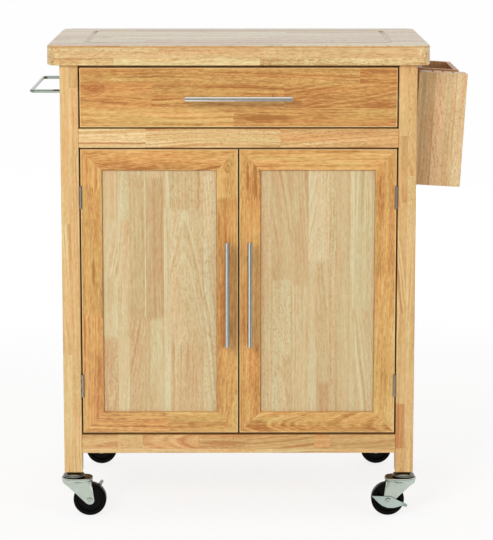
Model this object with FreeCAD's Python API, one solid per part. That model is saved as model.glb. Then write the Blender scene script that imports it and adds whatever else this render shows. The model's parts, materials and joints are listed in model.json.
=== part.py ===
import FreeCAD, Part
import math
import os

# A kitchen trolley of edge-glued rubberwood: a thick worktop on four square legs, one full-width drawer over
# a cupboard with two mitred-frame doors, a towel rail on the left side, a knife block and an open box hung on
# a cleat on the right side, and four swivel casters, the front two with brake levers.
# Millimetres, +Z up. The front faces -Y. The origin is on the floor below the middle of the whole trolley.

Vector = FreeCAD.Vector
X_AXIS = Vector(1, 0, 0)
Y_AXIS = Vector(0, 1, 0)
Z_AXIS = Vector(0, 0, 1)
TINY = 1e-6

# Worktop
TOTAL_HEIGHT = 900.0
WORKTOP_WIDTH = 710.0
WORKTOP_DEPTH = 460.0
BOARD_THICKNESS = 23.0
EDGING_THICKNESS = 14.0
EDGING_WIDTH = 62.0
WORKTOP_CORNER_RADIUS = 25.0
WORKTOP_EDGE_ROUND = 3.0
GROOVE_INSET = 70.0
GROOVE_WIDTH = 9.0
GROOVE_DEPTH = 3.0
GROOVE_CORNER_RADIUS = 12.0

# Legs, rails and panels
BODY_WIDTH = 664.0
BODY_DEPTH = 432.0
LEG_SIZE = 34.0
LEG_ROUND = 2.0
RAIL_HEIGHT = 35.5
RAIL_DEPTH = 22.0
BOTTOM_RAIL_LIFT = 38.5
EDGE_ROUND = 1.2
SIDE_PANEL_THICKNESS = 15.0
SIDE_PANEL_REVEAL = 2.0
TONGUE_LENGTH = 6.0
TONGUE_THICKNESS = 6.0
BACK_PANEL_THICKNESS = 6.0
BACK_PANEL_RECESS = 8.0
BOTTOM_PANEL_THICKNESS = 15.0
BATTEN_HEIGHT = 20.0
BATTEN_WIDTH = 20.0
STRETCHER_THICKNESS = 15.0
STRETCHER_WIDTH = 50.0
DOWEL_RADIUS = 4.0
DOWEL_LENGTH = 30.0
DOWEL_SPACING = 12.0
GLUE_CLEARANCE = 0.05
PANEL_CLEARANCE = 0.1

# Shelf on four pins
SHELF_THICKNESS = 15.0
SHELF_HEIGHT = 285.0
SHELF_FRONT_SETBACK = 8.0
SHELF_END_CLEARANCE = 1.0
PIN_RADIUS = 2.5
PIN_LENGTH = 16.0
PIN_HOLE_PITCH = 64.0
PIN_HOLES_EACH_WAY = 1
PIN_SETBACK = 60.0

# Drawer
DRAWER_OPENING_HEIGHT = 118.5
DRAWER_GAP_BELOW = 2.5
DRAWER_GAP_ABOVE = 4.5
FRONT_SIDE_GAP = 2.5
FRONT_THICKNESS = 20.0
DRAWER_BOX_LIFT = 8.0
DRAWER_BOX_HEIGHT = 85.0
DRAWER_BACK_GAP = 32.0
DRAWER_SIDE_THICKNESS = 12.0
DRAWER_BOTTOM_THICKNESS = 6.0
DRAWER_BOTTOM_LIFT = 8.0
DRAWER_GROOVE_DEPTH = 6.0
DRAWER_BACK_DROP = 10.0
DRAWER_TRAVEL = 260.0

# Ball-bearing drawer runners
RUNNER_THICKNESS = 12.5
RUNNER_HEIGHT = 35.0
RUNNER_LENGTH = 350.0
RUNNER_SHEET = 1.2
RUNNER_FLANGE = 9.0
RUNNER_SETBACK = 4.0
PACKER_MARGIN = 5.0
BALL_RADIUS = 2.0
BALL_PLAY = 0.1
CAGE_SHEET = 0.8
CAGE_END_ROOM = 3.0
CAGE_BALLS = 6

# Doors
DOOR_BOTTOM_GAP = 4.2
DOOR_TOP_GAP = 2.5
DOOR_CENTRE_GAP = 2.0
FRAME_MEMBER_WIDTH = 40.0
DOOR_PANEL_THICKNESS = 8.0
DOOR_PANEL_RECESS = 6.0
PANEL_GROOVE_DEPTH = 8.0
PANEL_EXPANSION = 1.0

# Butt hinges
HINGE_LENGTH = 43.0
HINGE_END_INSET = 91.0
BARREL_RADIUS = 2.6
BARREL_LEG_GAP = 0.4
BARREL_PROUD = 0.5
HINGE_PIN_RADIUS = 1.2
HINGE_FIT = 0.06
LEAF_THICKNESS = 1.0
LEAF_DEPTH = 17.0
KNUCKLES = 5
KNUCKLE_GAP = 0.3
HINGE_ROOM = 0.4

# Bar handles
HANDLE_LENGTH = 200.0
HANDLE_RADIUS = 5.0
HANDLE_CHAMFER = 0.6
HANDLE_HOLES = 128.0
HANDLE_STAND = 32.0
POST_RADIUS = 4.0
BOLT_RADIUS = 2.0
BOLT_HEAD_RADIUS = 4.2
BOLT_HEAD_HEIGHT = 2.4
BOLT_BITE = 12.0

# Magnet catch behind the meeting stiles
CATCH_WIDTH = 46.0
CATCH_DEPTH = 14.0
CATCH_DROP = 16.0
CATCH_RISE = 14.0
STRIKE_WIDTH = 14.0
STRIKE_HEIGHT = 12.0
STRIKE_THICKNESS = 1.5

# Towel rail
RAIL_ROD_RADIUS = 3.25
RAIL_SPACING = 288.0
RAIL_STAND = 59.0
RAIL_DROP = 55.0
RAIL_BEND = 9.0
RAIL_SCREW_BITE = 14.0

# Knife block and box on the right side, leaning on one cleat
RACK_TILT = 3.25
RACK_DROP = 235.8
RACK_SETBACK = 96.0
RACK_CLEARANCE = 0.3
BLOCK_WIDTH = 92.0
BLOCK_DEPTH = 47.0
BLOCK_HEIGHT = 216.0
SLOT_WIDTH = 3.2
SLOT_LENGTH = 30.0
SLOT_FLOOR = 26.0
SLOT_PITCH = 19.5
SLOTS = 3
BOX_WIDTH = 79.0
BOX_LENGTH = 193.0
BOX_WALL = 10.0
BOX_RIM_RISE = 3.0
RACK_ROUND = 1.5
CLEAT_LENGTH = 150.0
CLEAT_LOW = 125.0
CLEAT_MIDDLE = 152.0
CLEAT_HIGH = 190.0
CLEAT_BEVEL = 45.0

# Casters
WHEEL_RADIUS = 31.5
WHEEL_WIDTH = 24.0
WHEEL_RIM = 8.0
WHEEL_WEB = 11.0
WHEEL_HUB_RADIUS = 9.5
TREAD_ROUND = 5.0
CASTER_TRAIL = 30.0
FORK_SHEET = 2.0
FORK_SIDE_PLAY = 1.5
FORK_ROOM = 3.5
CROWN_RADIUS = 22.0
CROWN_THICKNESS = 8.0
CROWN_GAP = 0.5
CROWN_ROUND = 3.0
CAP_RADIUS = 21.0
CAP_HEIGHT = 11.0
CAP_NECK_RADIUS = 11.0
CAP_RIM = 2.75
CAP_SHOULDER_DROP = 2.2
LUG_RADIUS = 9.0
FORK_LEAN = 43.0
FORK_HEEL = 7.3
FORK_TOE = 4.5
AXLE_RADIUS = 3.0
AXLE_HEAD_RADIUS = 5.5
AXLE_HEAD_HEIGHT = 1.8
RUNNING_FIT = 0.08
KINGPIN_RADIUS = 5.0
KINGPIN_HEAD_RADIUS = 8.0
KINGPIN_HEAD_HEIGHT = 2.0
STEM_LENGTH = 30.0
INSERT_RADIUS = 7.0
INSERT_LENGTH = 24.0
LEVER_HALF_LENGTH = 35.0
LEVER_HALF_HEIGHT = 11.0
LEVER_SHEET = 2.0
LEVER_GAP = 0.6
LEVER_TAB = 8.0
LEVER_TAB_WIDTH = 7.4
LEVER_LOCKED_ANGLE = 15.0
LEVER_FREE_ANGLE = 52.0

# Screws
WORKTOP_SCREW_SPACING = 200.0
SCREW_RADIUS = 2.0
SCREW_HEAD_RADIUS = 4.0
SCREW_HEAD_HEIGHT = 2.5
SCREW_HEAD_ROOM = 0.5
SCREW_BITE = 12.0

# Places worked out from the sizes above
half = BODY_WIDTH / 2
inner = half - LEG_SIZE
panel_out = half - SIDE_PANEL_REVEAL
panel_in = panel_out - SIDE_PANEL_THICKNESS
leg_bottom = 2 * WHEEL_RADIUS + FORK_ROOM + CROWN_THICKNESS + CROWN_GAP + CAP_HEIGHT
leg_top = TOTAL_HEIGHT - BOARD_THICKNESS - EDGING_THICKNESS
low_rail_bottom = leg_bottom + BOTTOM_RAIL_LIFT
low_rail_top = low_rail_bottom + RAIL_HEIGHT
mid_rail_top = leg_top - DRAWER_OPENING_HEIGHT
mid_rail_bottom = mid_rail_top - RAIL_HEIGHT
high_rail_bottom = leg_top - RAIL_HEIGHT
front_half = inner - FRONT_SIDE_GAP
door_bottom = low_rail_top + DOOR_BOTTOM_GAP
door_top = mid_rail_bottom - DOOR_TOP_GAP
door_middle = (door_bottom + door_top) / 2
door_free_edge = DOOR_CENTRE_GAP / 2
drawer_front_bottom = mid_rail_top + DRAWER_GAP_BELOW
drawer_front_top = leg_top - DRAWER_GAP_ABOVE
drawer_front_middle = (drawer_front_bottom + drawer_front_top) / 2
drawer_half = inner - RUNNER_THICKNESS
drawer_box_bottom = mid_rail_top + DRAWER_BOX_LIFT
drawer_box_top = drawer_box_bottom + DRAWER_BOX_HEIGHT
drawer_floor_bottom = drawer_box_bottom + DRAWER_BOTTOM_LIFT
drawer_floor_top = drawer_floor_bottom + DRAWER_BOTTOM_THICKNESS
runner_middle = (drawer_box_bottom + drawer_box_top) / 2
runner_front = FRONT_THICKNESS + RUNNER_SETBACK
shelf_bottom = low_rail_top + SHELF_HEIGHT
shelf_front = LEG_SIZE + SHELF_FRONT_SETBACK
shelf_back = BODY_DEPTH - LEG_SIZE - SHELF_FRONT_SETBACK
back_panel_front = BODY_DEPTH - BACK_PANEL_RECESS - BACK_PANEL_THICKNESS
drawer_box_back = back_panel_front - DRAWER_BACK_GAP
hinge_x = inner - BARREL_LEG_GAP - BARREL_RADIUS
hinge_y = -BARREL_PROUD
hinge_middles = (door_bottom + HINGE_END_INSET, door_top - HINGE_END_INSET)
handle_x = door_free_edge + FRAME_MEMBER_WIDTH / 2
towel_rail_height = leg_top - RAIL_DROP
leg_middle_x = half - LEG_SIZE / 2
leg_middles_y = {"front": LEG_SIZE / 2, "rear": BODY_DEPTH - LEG_SIZE / 2}
fork_inside = WHEEL_WIDTH / 2 + FORK_SIDE_PLAY
fork_outside = fork_inside + FORK_SHEET
crown_bottom = 2 * WHEEL_RADIUS + FORK_ROOM
crown_top = crown_bottom + CROWN_THICKNESS
rack_foot_x = panel_out + RACK_CLEARANCE
rack_bottom = leg_top - RACK_DROP


def block(x0, x1, y0, y1, z0, z1):
    return Part.makeBox(x1 - x0, y1 - y0, z1 - z0, Vector(x0, y0, z0))


def eased_block(x0, x1, y0, y1, z0, z1, radius=EDGE_ROUND):
    shape = block(x0, x1, y0, y1, z0, z1)
    return shape.makeFillet(radius, shape.Edges)


def rod(radius, start, end):
    return Part.makeCylinder(radius, (end - start).Length, start, end - start)


def prism(points, depth):
    return Part.Face(Part.makePolygon(points + points[:1])).extrude(depth)


def mirrored(shape):
    return shape.mirror(Vector(0, 0, 0), X_AXIS)


def both_sides(shape):
    return [shape, mirrored(shape)]


def group(shapes):
    return Part.makeCompound(list(shapes))


def rounded_outline(width, depth, radius, z, middle_y):
    """A closed wire: a rectangle on the middle of X with round corners."""
    hx = width / 2
    hy = depth / 2
    reach = radius * math.sin(math.pi / 4)
    edges = []
    for sx, sy in ((1, -1), (1, 1), (-1, 1), (-1, -1)):
        centre = Vector(sx * (hx - radius), middle_y + sy * (hy - radius), z)
        along_x = centre + Vector(0, sy * radius, 0)
        along_y = centre + Vector(sx * radius, 0, 0)
        corner = centre + Vector(sx * reach, sy * reach, 0)
        ends = (along_x, along_y) if sx * sy < 0 else (along_y, along_x)
        edges.append(Part.Arc(ends[0], corner, ends[1]).toShape())
    lines = []
    for arc, following in zip(edges, edges[1:] + edges[:1]):
        start = arc.lastVertex(True).Point
        end = following.firstVertex(True).Point
        lines.append(Part.LineSegment(start, end).toShape())
    return Part.Wire([edge for pair in zip(edges, lines) for edge in pair])


# Worktop
def worktop_slab(bottom, thickness):
    outline = rounded_outline(WORKTOP_WIDTH, WORKTOP_DEPTH, WORKTOP_CORNER_RADIUS, bottom, BODY_DEPTH / 2)
    return Part.Face(outline).extrude(Vector(0, 0, thickness))


def rim_edges(shape, z):
    return [e for e in shape.Edges if all(abs(v.Z - z) < TINY for v in e.Vertexes)]


def worktop_board():
    bottom = leg_top + EDGING_THICKNESS
    board = worktop_slab(bottom, BOARD_THICKNESS)
    board = board.makeFillet(WORKTOP_EDGE_ROUND, rim_edges(board, TOTAL_HEIGHT))
    cutter_radius = (GROOVE_WIDTH**2 / 4 + GROOVE_DEPTH**2) / (2 * GROOVE_DEPTH)
    path = rounded_outline(
        WORKTOP_WIDTH - 2 * GROOVE_INSET,
        WORKTOP_DEPTH - 2 * GROOVE_INSET,
        GROOVE_CORNER_RADIUS,
        TOTAL_HEIGHT + cutter_radius - GROOVE_DEPTH,
        BODY_DEPTH / 2,
    )
    start = path.Edges[1].firstVertex(True).Point
    heading = path.Edges[1].tangentAt(path.Edges[1].FirstParameter)
    circle = Part.Wire(Part.makeCircle(cutter_radius, start, heading))
    ordered = Part.Wire(path.Edges[1:] + path.Edges[:1])
    return board.cut(ordered.makePipeShell([circle], True, False))


def worktop_edging():
    ring = worktop_slab(leg_top, EDGING_THICKNESS)
    ring = ring.makeFillet(WORKTOP_EDGE_ROUND, rim_edges(ring, leg_top))
    hx = WORKTOP_WIDTH / 2
    hy = WORKTOP_DEPTH / 2
    inside_x = hx - EDGING_WIDTH
    inside_y = hy - EDGING_WIDTH
    middle = BODY_DEPTH / 2
    hole_top = leg_top + EDGING_THICKNESS
    ring = ring.cut(block(-inside_x, inside_x, middle - inside_y, middle + inside_y, leg_top, hole_top))
    strips = []
    up = Vector(0, 0, EDGING_THICKNESS)
    for sx, sy in ((0, -1), (1, 0), (0, 1), (-1, 0)):
        if sx:
            outer = [(sx * hx, -hy), (sx * hx, hy)]
            tips = [(sx * inside_x, inside_y), (sx * inside_x, -inside_y)]
        else:
            outer = [(-hx, sy * hy), (hx, sy * hy)]
            tips = [(inside_x, sy * inside_y), (-inside_x, sy * inside_y)]
        corners = [Vector(x, y + middle, leg_top) for x, y in outer + tips]
        strips.append(ring.common(prism(corners, up)))
    return group(strips)


# Legs, rails and panels
def dowel_places():
    """Start and end points of every frame dowel on the left side, from the leg into the rail."""
    front_y = RAIL_DEPTH / 2
    rear_y = BODY_DEPTH - RAIL_DEPTH / 2
    rails = (
        (front_y, low_rail_bottom),
        (front_y, mid_rail_bottom),
        (rear_y, low_rail_bottom),
        (rear_y, high_rail_bottom),
    )
    places = []
    for y, bottom in rails:
        for offset in (-DOWEL_SPACING / 2, DOWEL_SPACING / 2):
            z = bottom + RAIL_HEIGHT / 2 + offset
            places.append((Vector(-inner - DOWEL_LENGTH / 2, y, z), Vector(-inner + DOWEL_LENGTH / 2, y, z)))
    return places


def dowel_holes():
    holes = [rod(DOWEL_RADIUS + GLUE_CLEARANCE, start, end) for start, end in dowel_places()]
    return group(holes + [mirrored(hole) for hole in holes])


def frame_dowels():
    dowels = [rod(DOWEL_RADIUS, start, end) for start, end in dowel_places()]
    return group(dowels + [mirrored(dowel) for dowel in dowels])


def side_panel_tongues(clearance):
    """The left panel's two tongues, or with a clearance the grooves that they slide into."""
    middle = -(panel_in + panel_out) / 2
    x0 = middle - TONGUE_THICKNESS / 2 - clearance
    x1 = middle + TONGUE_THICKNESS / 2 + clearance
    low = low_rail_bottom - clearance
    length = TONGUE_LENGTH + clearance
    rear_start = BODY_DEPTH - LEG_SIZE
    front = block(x0, x1, LEG_SIZE - length, LEG_SIZE, low, leg_top)
    rear = block(x0, x1, rear_start, rear_start + length, low, leg_top)
    return group([front, rear])


def back_panel_block(clearance):
    edge = TONGUE_LENGTH + clearance
    return block(
        -inner - edge,
        inner + edge,
        back_panel_front - clearance,
        back_panel_front + BACK_PANEL_THICKNESS + clearance,
        low_rail_top - edge,
        high_rail_bottom + edge,
    )


def left_leg(place):
    y0 = 0 if place == "front" else BODY_DEPTH - LEG_SIZE
    leg = eased_block(-half, -inner, y0, y0 + LEG_SIZE, leg_bottom, leg_top, LEG_ROUND)
    leg = leg.cut(side_panel_tongues(PANEL_CLEARANCE)).cut(dowel_holes())
    if place == "rear":
        leg = leg.cut(back_panel_block(PANEL_CLEARANCE))
    foot = Vector(-leg_middle_x, leg_middles_y[place], leg_bottom)
    leg = leg.cut(rod(INSERT_RADIUS + GLUE_CLEARANCE, foot, foot + Vector(0, 0, INSERT_LENGTH)))
    stem_hole = rod(KINGPIN_RADIUS + RUNNING_FIT, foot, foot + Vector(0, 0, STEM_LENGTH))
    return leg.cut(stem_hole)


def rail(y0, bottom):
    shape = eased_block(-inner, inner, y0, y0 + RAIL_DEPTH, bottom, bottom + RAIL_HEIGHT)
    return shape.cut(dowel_holes())


def rear_frame_rails():
    """The two rear rails, grooved for the back panel, and the flat stretcher behind the drawer front."""
    groove = back_panel_block(PANEL_CLEARANCE)
    rear_y = BODY_DEPTH - RAIL_DEPTH
    rails = [rail(rear_y, bottom).cut(groove) for bottom in (low_rail_bottom, high_rail_bottom)]
    stretcher = eased_block(
        -inner,
        inner,
        FRONT_THICKNESS + FRONT_SIDE_GAP,
        FRONT_THICKNESS + FRONT_SIDE_GAP + STRETCHER_WIDTH,
        leg_top - STRETCHER_THICKNESS,
        leg_top,
    )
    for start, end in worktop_screw_places():
        stretcher = stretcher.cut(rod(SCREW_RADIUS + GLUE_CLEARANCE, start, end))
    return group(rails + [stretcher])


def pin_places(reach):
    """Start and end points of the left side's two shelf pins, or with half their reach of the pins' holes."""
    places = []
    for y in (shelf_front + PIN_SETBACK, shelf_back - PIN_SETBACK):
        start = Vector(-panel_in - PIN_LENGTH / 2, y, shelf_bottom - PIN_RADIUS - GLUE_CLEARANCE)
        places.append((start, start + Vector(reach, 0, 0)))
    return places


def left_side_panel_blank():
    panel = eased_block(-panel_out, -panel_in, LEG_SIZE, BODY_DEPTH - LEG_SIZE, low_rail_bottom, leg_top)
    panel = panel.fuse(side_panel_tongues(0).Solids)
    for start, end in pin_places(PIN_LENGTH / 2):
        for step in range(-PIN_HOLES_EACH_WAY, PIN_HOLES_EACH_WAY + 1):
            rise = Vector(0, 0, step * PIN_HOLE_PITCH)
            panel = panel.cut(rod(PIN_RADIUS + GLUE_CLEARANCE, start + rise, end + rise))
    return panel


def left_side_panel():
    panel = left_side_panel_blank()
    for start, end in towel_screw_places():
        panel = panel.cut(rod(SCREW_RADIUS + GLUE_CLEARANCE, start, end))
    return panel


def shelf_pins():
    pins = [rod(PIN_RADIUS, start, end) for start, end in pin_places(PIN_LENGTH)]
    return group(pins + [mirrored(pin) for pin in pins])


def shelf():
    reach = panel_in - SHELF_END_CLEARANCE
    return eased_block(-reach, reach, shelf_front, shelf_back, shelf_bottom, shelf_bottom + SHELF_THICKNESS)


def bottom_panel():
    panel = block(
        -panel_in,
        panel_in,
        RAIL_DEPTH,
        BODY_DEPTH - RAIL_DEPTH,
        low_rail_top - BOTTOM_PANEL_THICKNESS,
        low_rail_top,
    )
    corner_x = inner - PANEL_CLEARANCE
    corner_y = LEG_SIZE + PANEL_CLEARANCE
    for x0, x1 in ((-half, -corner_x), (corner_x, half)):
        for y0, y1 in ((0, corner_y), (BODY_DEPTH - corner_y, BODY_DEPTH)):
            panel = panel.cut(block(x0, x1, y0, y1, leg_bottom, leg_top))
    return panel


def inner_battens():
    """Strips on the side panels that carry the cupboard floor, and the packers behind the drawer runners."""
    floor_strip = block(
        -panel_in,
        -panel_in + BATTEN_WIDTH,
        LEG_SIZE,
        BODY_DEPTH - LEG_SIZE,
        low_rail_top - BOTTOM_PANEL_THICKNESS - BATTEN_HEIGHT,
        low_rail_top - BOTTOM_PANEL_THICKNESS,
    )
    packer = block(
        -panel_in,
        -inner,
        LEG_SIZE,
        BODY_DEPTH - LEG_SIZE,
        runner_middle - RUNNER_HEIGHT / 2 - PACKER_MARGIN,
        runner_middle + RUNNER_HEIGHT / 2 + PACKER_MARGIN,
    )
    left_packer = packer
    for start, end in towel_screw_places():
        head_room = Vector(panel_in - inner, 0, 0)
        left_packer = left_packer.cut(rod(SCREW_HEAD_RADIUS + SCREW_HEAD_ROOM, start, start + head_room))
    return group(both_sides(floor_strip) + [left_packer, mirrored(packer)])


# Drawer
def bolt_holes(places):
    return group([rod(BOLT_RADIUS + GLUE_CLEARANCE, start, end) for start, end in places])


def handle_bolt_places(middle, along):
    """Start and end points of the two bolts through a front board into a handle's posts."""
    places = []
    for side in (-1, 1):
        foot = middle + along * (side * HANDLE_HOLES / 2)
        places.append((foot + Vector(0, FRONT_THICKNESS, 0), foot - Vector(0, BOLT_BITE, 0)))
    return places


def handle_bolts(middle, along):
    bolts = []
    for start, end in handle_bolt_places(middle, along):
        head = rod(BOLT_HEAD_RADIUS, start, start + Vector(0, BOLT_HEAD_HEIGHT, 0))
        bolts.append(rod(BOLT_RADIUS, start, end).fuse(head))
    return bolts


def bar_handle(middle, along):
    """A round bar on two posts, with the posts' feet on the front plane at the given middle."""
    bar_middle = middle - Vector(0, HANDLE_STAND, 0)
    reach = along * (HANDLE_LENGTH / 2)
    bar = rod(HANDLE_RADIUS, bar_middle - reach, bar_middle + reach)
    rims = [e for e in bar.Edges if isinstance(e.Curve, Part.Circle)]
    pieces = [bar.makeChamfer(HANDLE_CHAMFER, rims)]
    for side in (-1, 1):
        foot = middle + along * (side * HANDLE_HOLES / 2)
        post = rod(POST_RADIUS, foot, foot - Vector(0, HANDLE_STAND, 0))
        pieces.append(post.cut(bar).cut(bolt_holes(handle_bolt_places(middle, along))))
    return pieces


drawer_handle_middle = Vector(0, 0, drawer_front_middle)
door_handle_middle = Vector(-handle_x, 0, door_middle)


def drawer_bottom():
    tongue = DRAWER_GROOVE_DEPTH - PANEL_EXPANSION
    edge = drawer_half - DRAWER_SIDE_THICKNESS + tongue
    end = drawer_box_back - DRAWER_SIDE_THICKNESS
    return block(-edge, edge, FRONT_THICKNESS - tongue, end, drawer_floor_bottom, drawer_floor_top)


def drawer_groove():
    edge = drawer_half - DRAWER_SIDE_THICKNESS + DRAWER_GROOVE_DEPTH
    return block(
        -edge,
        edge,
        FRONT_THICKNESS - DRAWER_GROOVE_DEPTH,
        drawer_box_back,
        drawer_floor_bottom - PANEL_CLEARANCE,
        drawer_floor_top + PANEL_CLEARANCE,
    )


def drawer_front():
    board = eased_block(-front_half, front_half, 0, FRONT_THICKNESS, drawer_front_bottom, drawer_front_top)
    board = board.cut(drawer_groove())
    return board.cut(bolt_holes(handle_bolt_places(drawer_handle_middle, X_AXIS)))


def drawer_sides():
    side = block(
        -drawer_half,
        -drawer_half + DRAWER_SIDE_THICKNESS,
        FRONT_THICKNESS,
        drawer_box_back,
        drawer_box_bottom,
        drawer_box_top,
    )
    return group(both_sides(side.cut(drawer_groove())))


def drawer_back():
    reach = drawer_half - DRAWER_SIDE_THICKNESS
    front = drawer_box_back - DRAWER_SIDE_THICKNESS
    return block(-reach, reach, front, drawer_box_back, drawer_box_bottom, drawer_box_top - DRAWER_BACK_DROP)


def runner_channel():
    """The left fixed member: a channel on the packer, open towards the drawer."""
    end = runner_front + RUNNER_LENGTH
    low = runner_middle - RUNNER_HEIGHT / 2
    high = runner_middle + RUNNER_HEIGHT / 2
    outer = block(-inner, -inner + RUNNER_FLANGE, runner_front, end, low, high)
    hollow = block(
        -inner + RUNNER_SHEET,
        -inner + RUNNER_FLANGE,
        runner_front,
        end,
        low + RUNNER_SHEET,
        high - RUNNER_SHEET,
    )
    return outer.cut(hollow)


ball_gap = 2 * (BALL_RADIUS + BALL_PLAY)
slide_half_height = RUNNER_HEIGHT / 2 - RUNNER_SHEET - ball_gap


def runner_slide():
    """The left moving member: a narrower channel on the drawer side, open towards the fixed one."""
    end = runner_front + RUNNER_LENGTH
    low = runner_middle - slide_half_height
    high = runner_middle + slide_half_height
    outer = block(-drawer_half - RUNNER_FLANGE, -drawer_half, runner_front, end, low, high)
    hollow = block(
        -drawer_half - RUNNER_FLANGE,
        -drawer_half - RUNNER_SHEET,
        runner_front,
        end,
        low + RUNNER_SHEET,
        high - RUNNER_SHEET,
    )
    return outer.cut(hollow)


def ball_cage():
    """The left cage with its two rows of balls. It rolls half as far as the drawer."""
    length = RUNNER_LENGTH - DRAWER_TRAVEL - 2 * CAGE_END_ROOM
    middle_y = runner_front + RUNNER_LENGTH / 2
    race = ball_gap / 2 + slide_half_height
    wall_x = -(inner - RUNNER_SHEET + drawer_half + RUNNER_FLANGE) / 2
    lip_x = -inner + RUNNER_FLANGE
    ball_x = (lip_x - drawer_half - RUNNER_FLANGE) / 2
    y0 = middle_y - length / 2
    y1 = middle_y + length / 2
    web_low = runner_middle - race - CAGE_SHEET / 2
    web_high = runner_middle + race + CAGE_SHEET / 2
    cage = block(wall_x - CAGE_SHEET / 2, wall_x + CAGE_SHEET / 2, y0, y1, web_low, web_high)
    pitch = length / CAGE_BALLS
    balls = []
    for side in (-1, 1):
        z = runner_middle + side * race
        strip = block(wall_x, lip_x, y0, y1, z - CAGE_SHEET / 2, z + CAGE_SHEET / 2)
        for number in range(CAGE_BALLS):
            y = y0 + pitch * (number + 0.5)
            rise = Vector(0, 0, CAGE_SHEET)
            seat = Vector(ball_x, y, z)
            strip = strip.cut(rod(BALL_RADIUS + BALL_PLAY, seat - rise, seat + rise))
            balls.append(Part.makeSphere(BALL_RADIUS, seat))
        cage = cage.fuse(strip)
    return [cage.removeSplitter()] + balls


def runner_ball_cages():
    left = ball_cage()
    return group(left + [mirrored(piece) for piece in left])


# Doors, made as the left one and mirrored for the right one
def door_member(corners):
    """A mitred frame member from its four front corners in X and Z, eased along its long edges."""
    shape = prism([Vector(x, 0, z) for x, z in corners], Vector(0, FRONT_THICKNESS, 0))
    run = Vector(corners[1][0] - corners[0][0], 0, corners[1][1] - corners[0][1]).normalize()
    long_edges = [e for e in shape.Edges if abs(abs(e.tangentAt(e.FirstParameter).dot(run)) - 1) < TINY]
    return shape.makeFillet(EDGE_ROUND, long_edges)


def door_panel_block(clearance, reach):
    edge = FRAME_MEMBER_WIDTH - reach
    return block(
        -front_half + edge,
        -door_free_edge - edge,
        DOOR_PANEL_RECESS - clearance,
        DOOR_PANEL_RECESS + DOOR_PANEL_THICKNESS + clearance,
        door_bottom + edge,
        door_top - edge,
    )


def door_panel():
    return door_panel_block(0, PANEL_GROOVE_DEPTH - PANEL_EXPANSION)


def door_cuts():
    groove = door_panel_block(PANEL_CLEARANCE, PANEL_GROOVE_DEPTH)
    return group([groove, bolt_holes(handle_bolt_places(door_handle_middle, Z_AXIS))])


def door_stile(outer_x, inner_x):
    corners = (
        (outer_x, door_bottom),
        (outer_x, door_top),
        (inner_x, door_top - FRAME_MEMBER_WIDTH),
        (inner_x, door_bottom + FRAME_MEMBER_WIDTH),
    )
    return door_member(corners).cut(door_cuts())


def door_closing_stile():
    return door_stile(-door_free_edge, -door_free_edge - FRAME_MEMBER_WIDTH)


def door_hinge_stile():
    stile = door_stile(-front_half, -front_half + FRAME_MEMBER_WIDTH)
    room = BARREL_RADIUS + HINGE_ROOM
    for z in hinge_middles:
        reach = HINGE_LENGTH / 2 + HINGE_ROOM
        stile = stile.cut(block(-front_half, -hinge_x + room, 0, hinge_y + room, z - reach, z + reach))
    return stile


def door_rails():
    rails = []
    for outer_z, inner_z in (
        (door_bottom, door_bottom + FRAME_MEMBER_WIDTH),
        (door_top, door_top - FRAME_MEMBER_WIDTH),
    ):
        corners = (
            (-front_half, outer_z),
            (-door_free_edge, outer_z),
            (-door_free_edge - FRAME_MEMBER_WIDTH, inner_z),
            (-front_half + FRAME_MEMBER_WIDTH, inner_z),
        )
        rails.append(door_member(corners).cut(door_cuts()))
    return group(rails)


def door_fixings():
    """The strike plate for the magnet, and the two bolts that hold the handle."""
    edge = door_free_edge + (CATCH_WIDTH / 2 - STRIKE_WIDTH) / 2
    strike = block(
        -edge - STRIKE_WIDTH,
        -edge,
        FRONT_THICKNESS,
        FRONT_THICKNESS + STRIKE_THICKNESS,
        door_top - STRIKE_HEIGHT,
        door_top,
    )
    return group([strike] + handle_bolts(door_handle_middle, Z_AXIS))


# Butt hinges on the left door
def knuckle_spans(middle):
    length = (HINGE_LENGTH - (KNUCKLES - 1) * KNUCKLE_GAP) / KNUCKLES
    start = middle - HINGE_LENGTH / 2
    starts = [start + number * (length + KNUCKLE_GAP) for number in range(KNUCKLES)]
    return [(low, low + length) for low in starts]


def barrel_piece(radius, z0, z1):
    return rod(radius, Vector(-hinge_x, hinge_y, z0), Vector(-hinge_x, hinge_y, z1))


def hinge_leaf(plate_x, middle, first_knuckle):
    """One leaf: its plate and every second knuckle, with room cut round the other leaf's knuckles."""
    low = middle - HINGE_LENGTH / 2
    high = middle + HINGE_LENGTH / 2
    leaf = block(plate_x, plate_x + LEAF_THICKNESS, hinge_y, LEAF_DEPTH, low, high)
    for number, (z0, z1) in enumerate(knuckle_spans(middle)):
        if (number - first_knuckle) % 2:
            leaf = leaf.cut(barrel_piece(BARREL_RADIUS + HINGE_ROOM, z0 - KNUCKLE_GAP, z1 + KNUCKLE_GAP))
    for number, (z0, z1) in enumerate(knuckle_spans(middle)):
        if (number - first_knuckle) % 2 == 0:
            leaf = leaf.fuse(barrel_piece(BARREL_RADIUS, z0, z1))
    return leaf.cut(barrel_piece(HINGE_PIN_RADIUS + HINGE_FIT, low, high)).removeSplitter()


def hinge_leg_leaves():
    leaves = [hinge_leaf(-inner, middle, 0) for middle in hinge_middles]
    return group(leaves + [mirrored(leaf) for leaf in leaves])


def door_hinge_leaves():
    return group([hinge_leaf(-front_half - LEAF_THICKNESS, middle, 1) for middle in hinge_middles])


def hinge_pins():
    reach = HINGE_LENGTH / 2
    pins = [barrel_piece(HINGE_PIN_RADIUS, middle - reach, middle + reach) for middle in hinge_middles]
    return group(pins + [mirrored(pin) for pin in pins])


def magnet_catch():
    return eased_block(
        -CATCH_WIDTH / 2,
        CATCH_WIDTH / 2,
        RAIL_DEPTH,
        RAIL_DEPTH + CATCH_DEPTH,
        mid_rail_bottom - CATCH_DROP,
        mid_rail_bottom + CATCH_RISE,
    )


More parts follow.
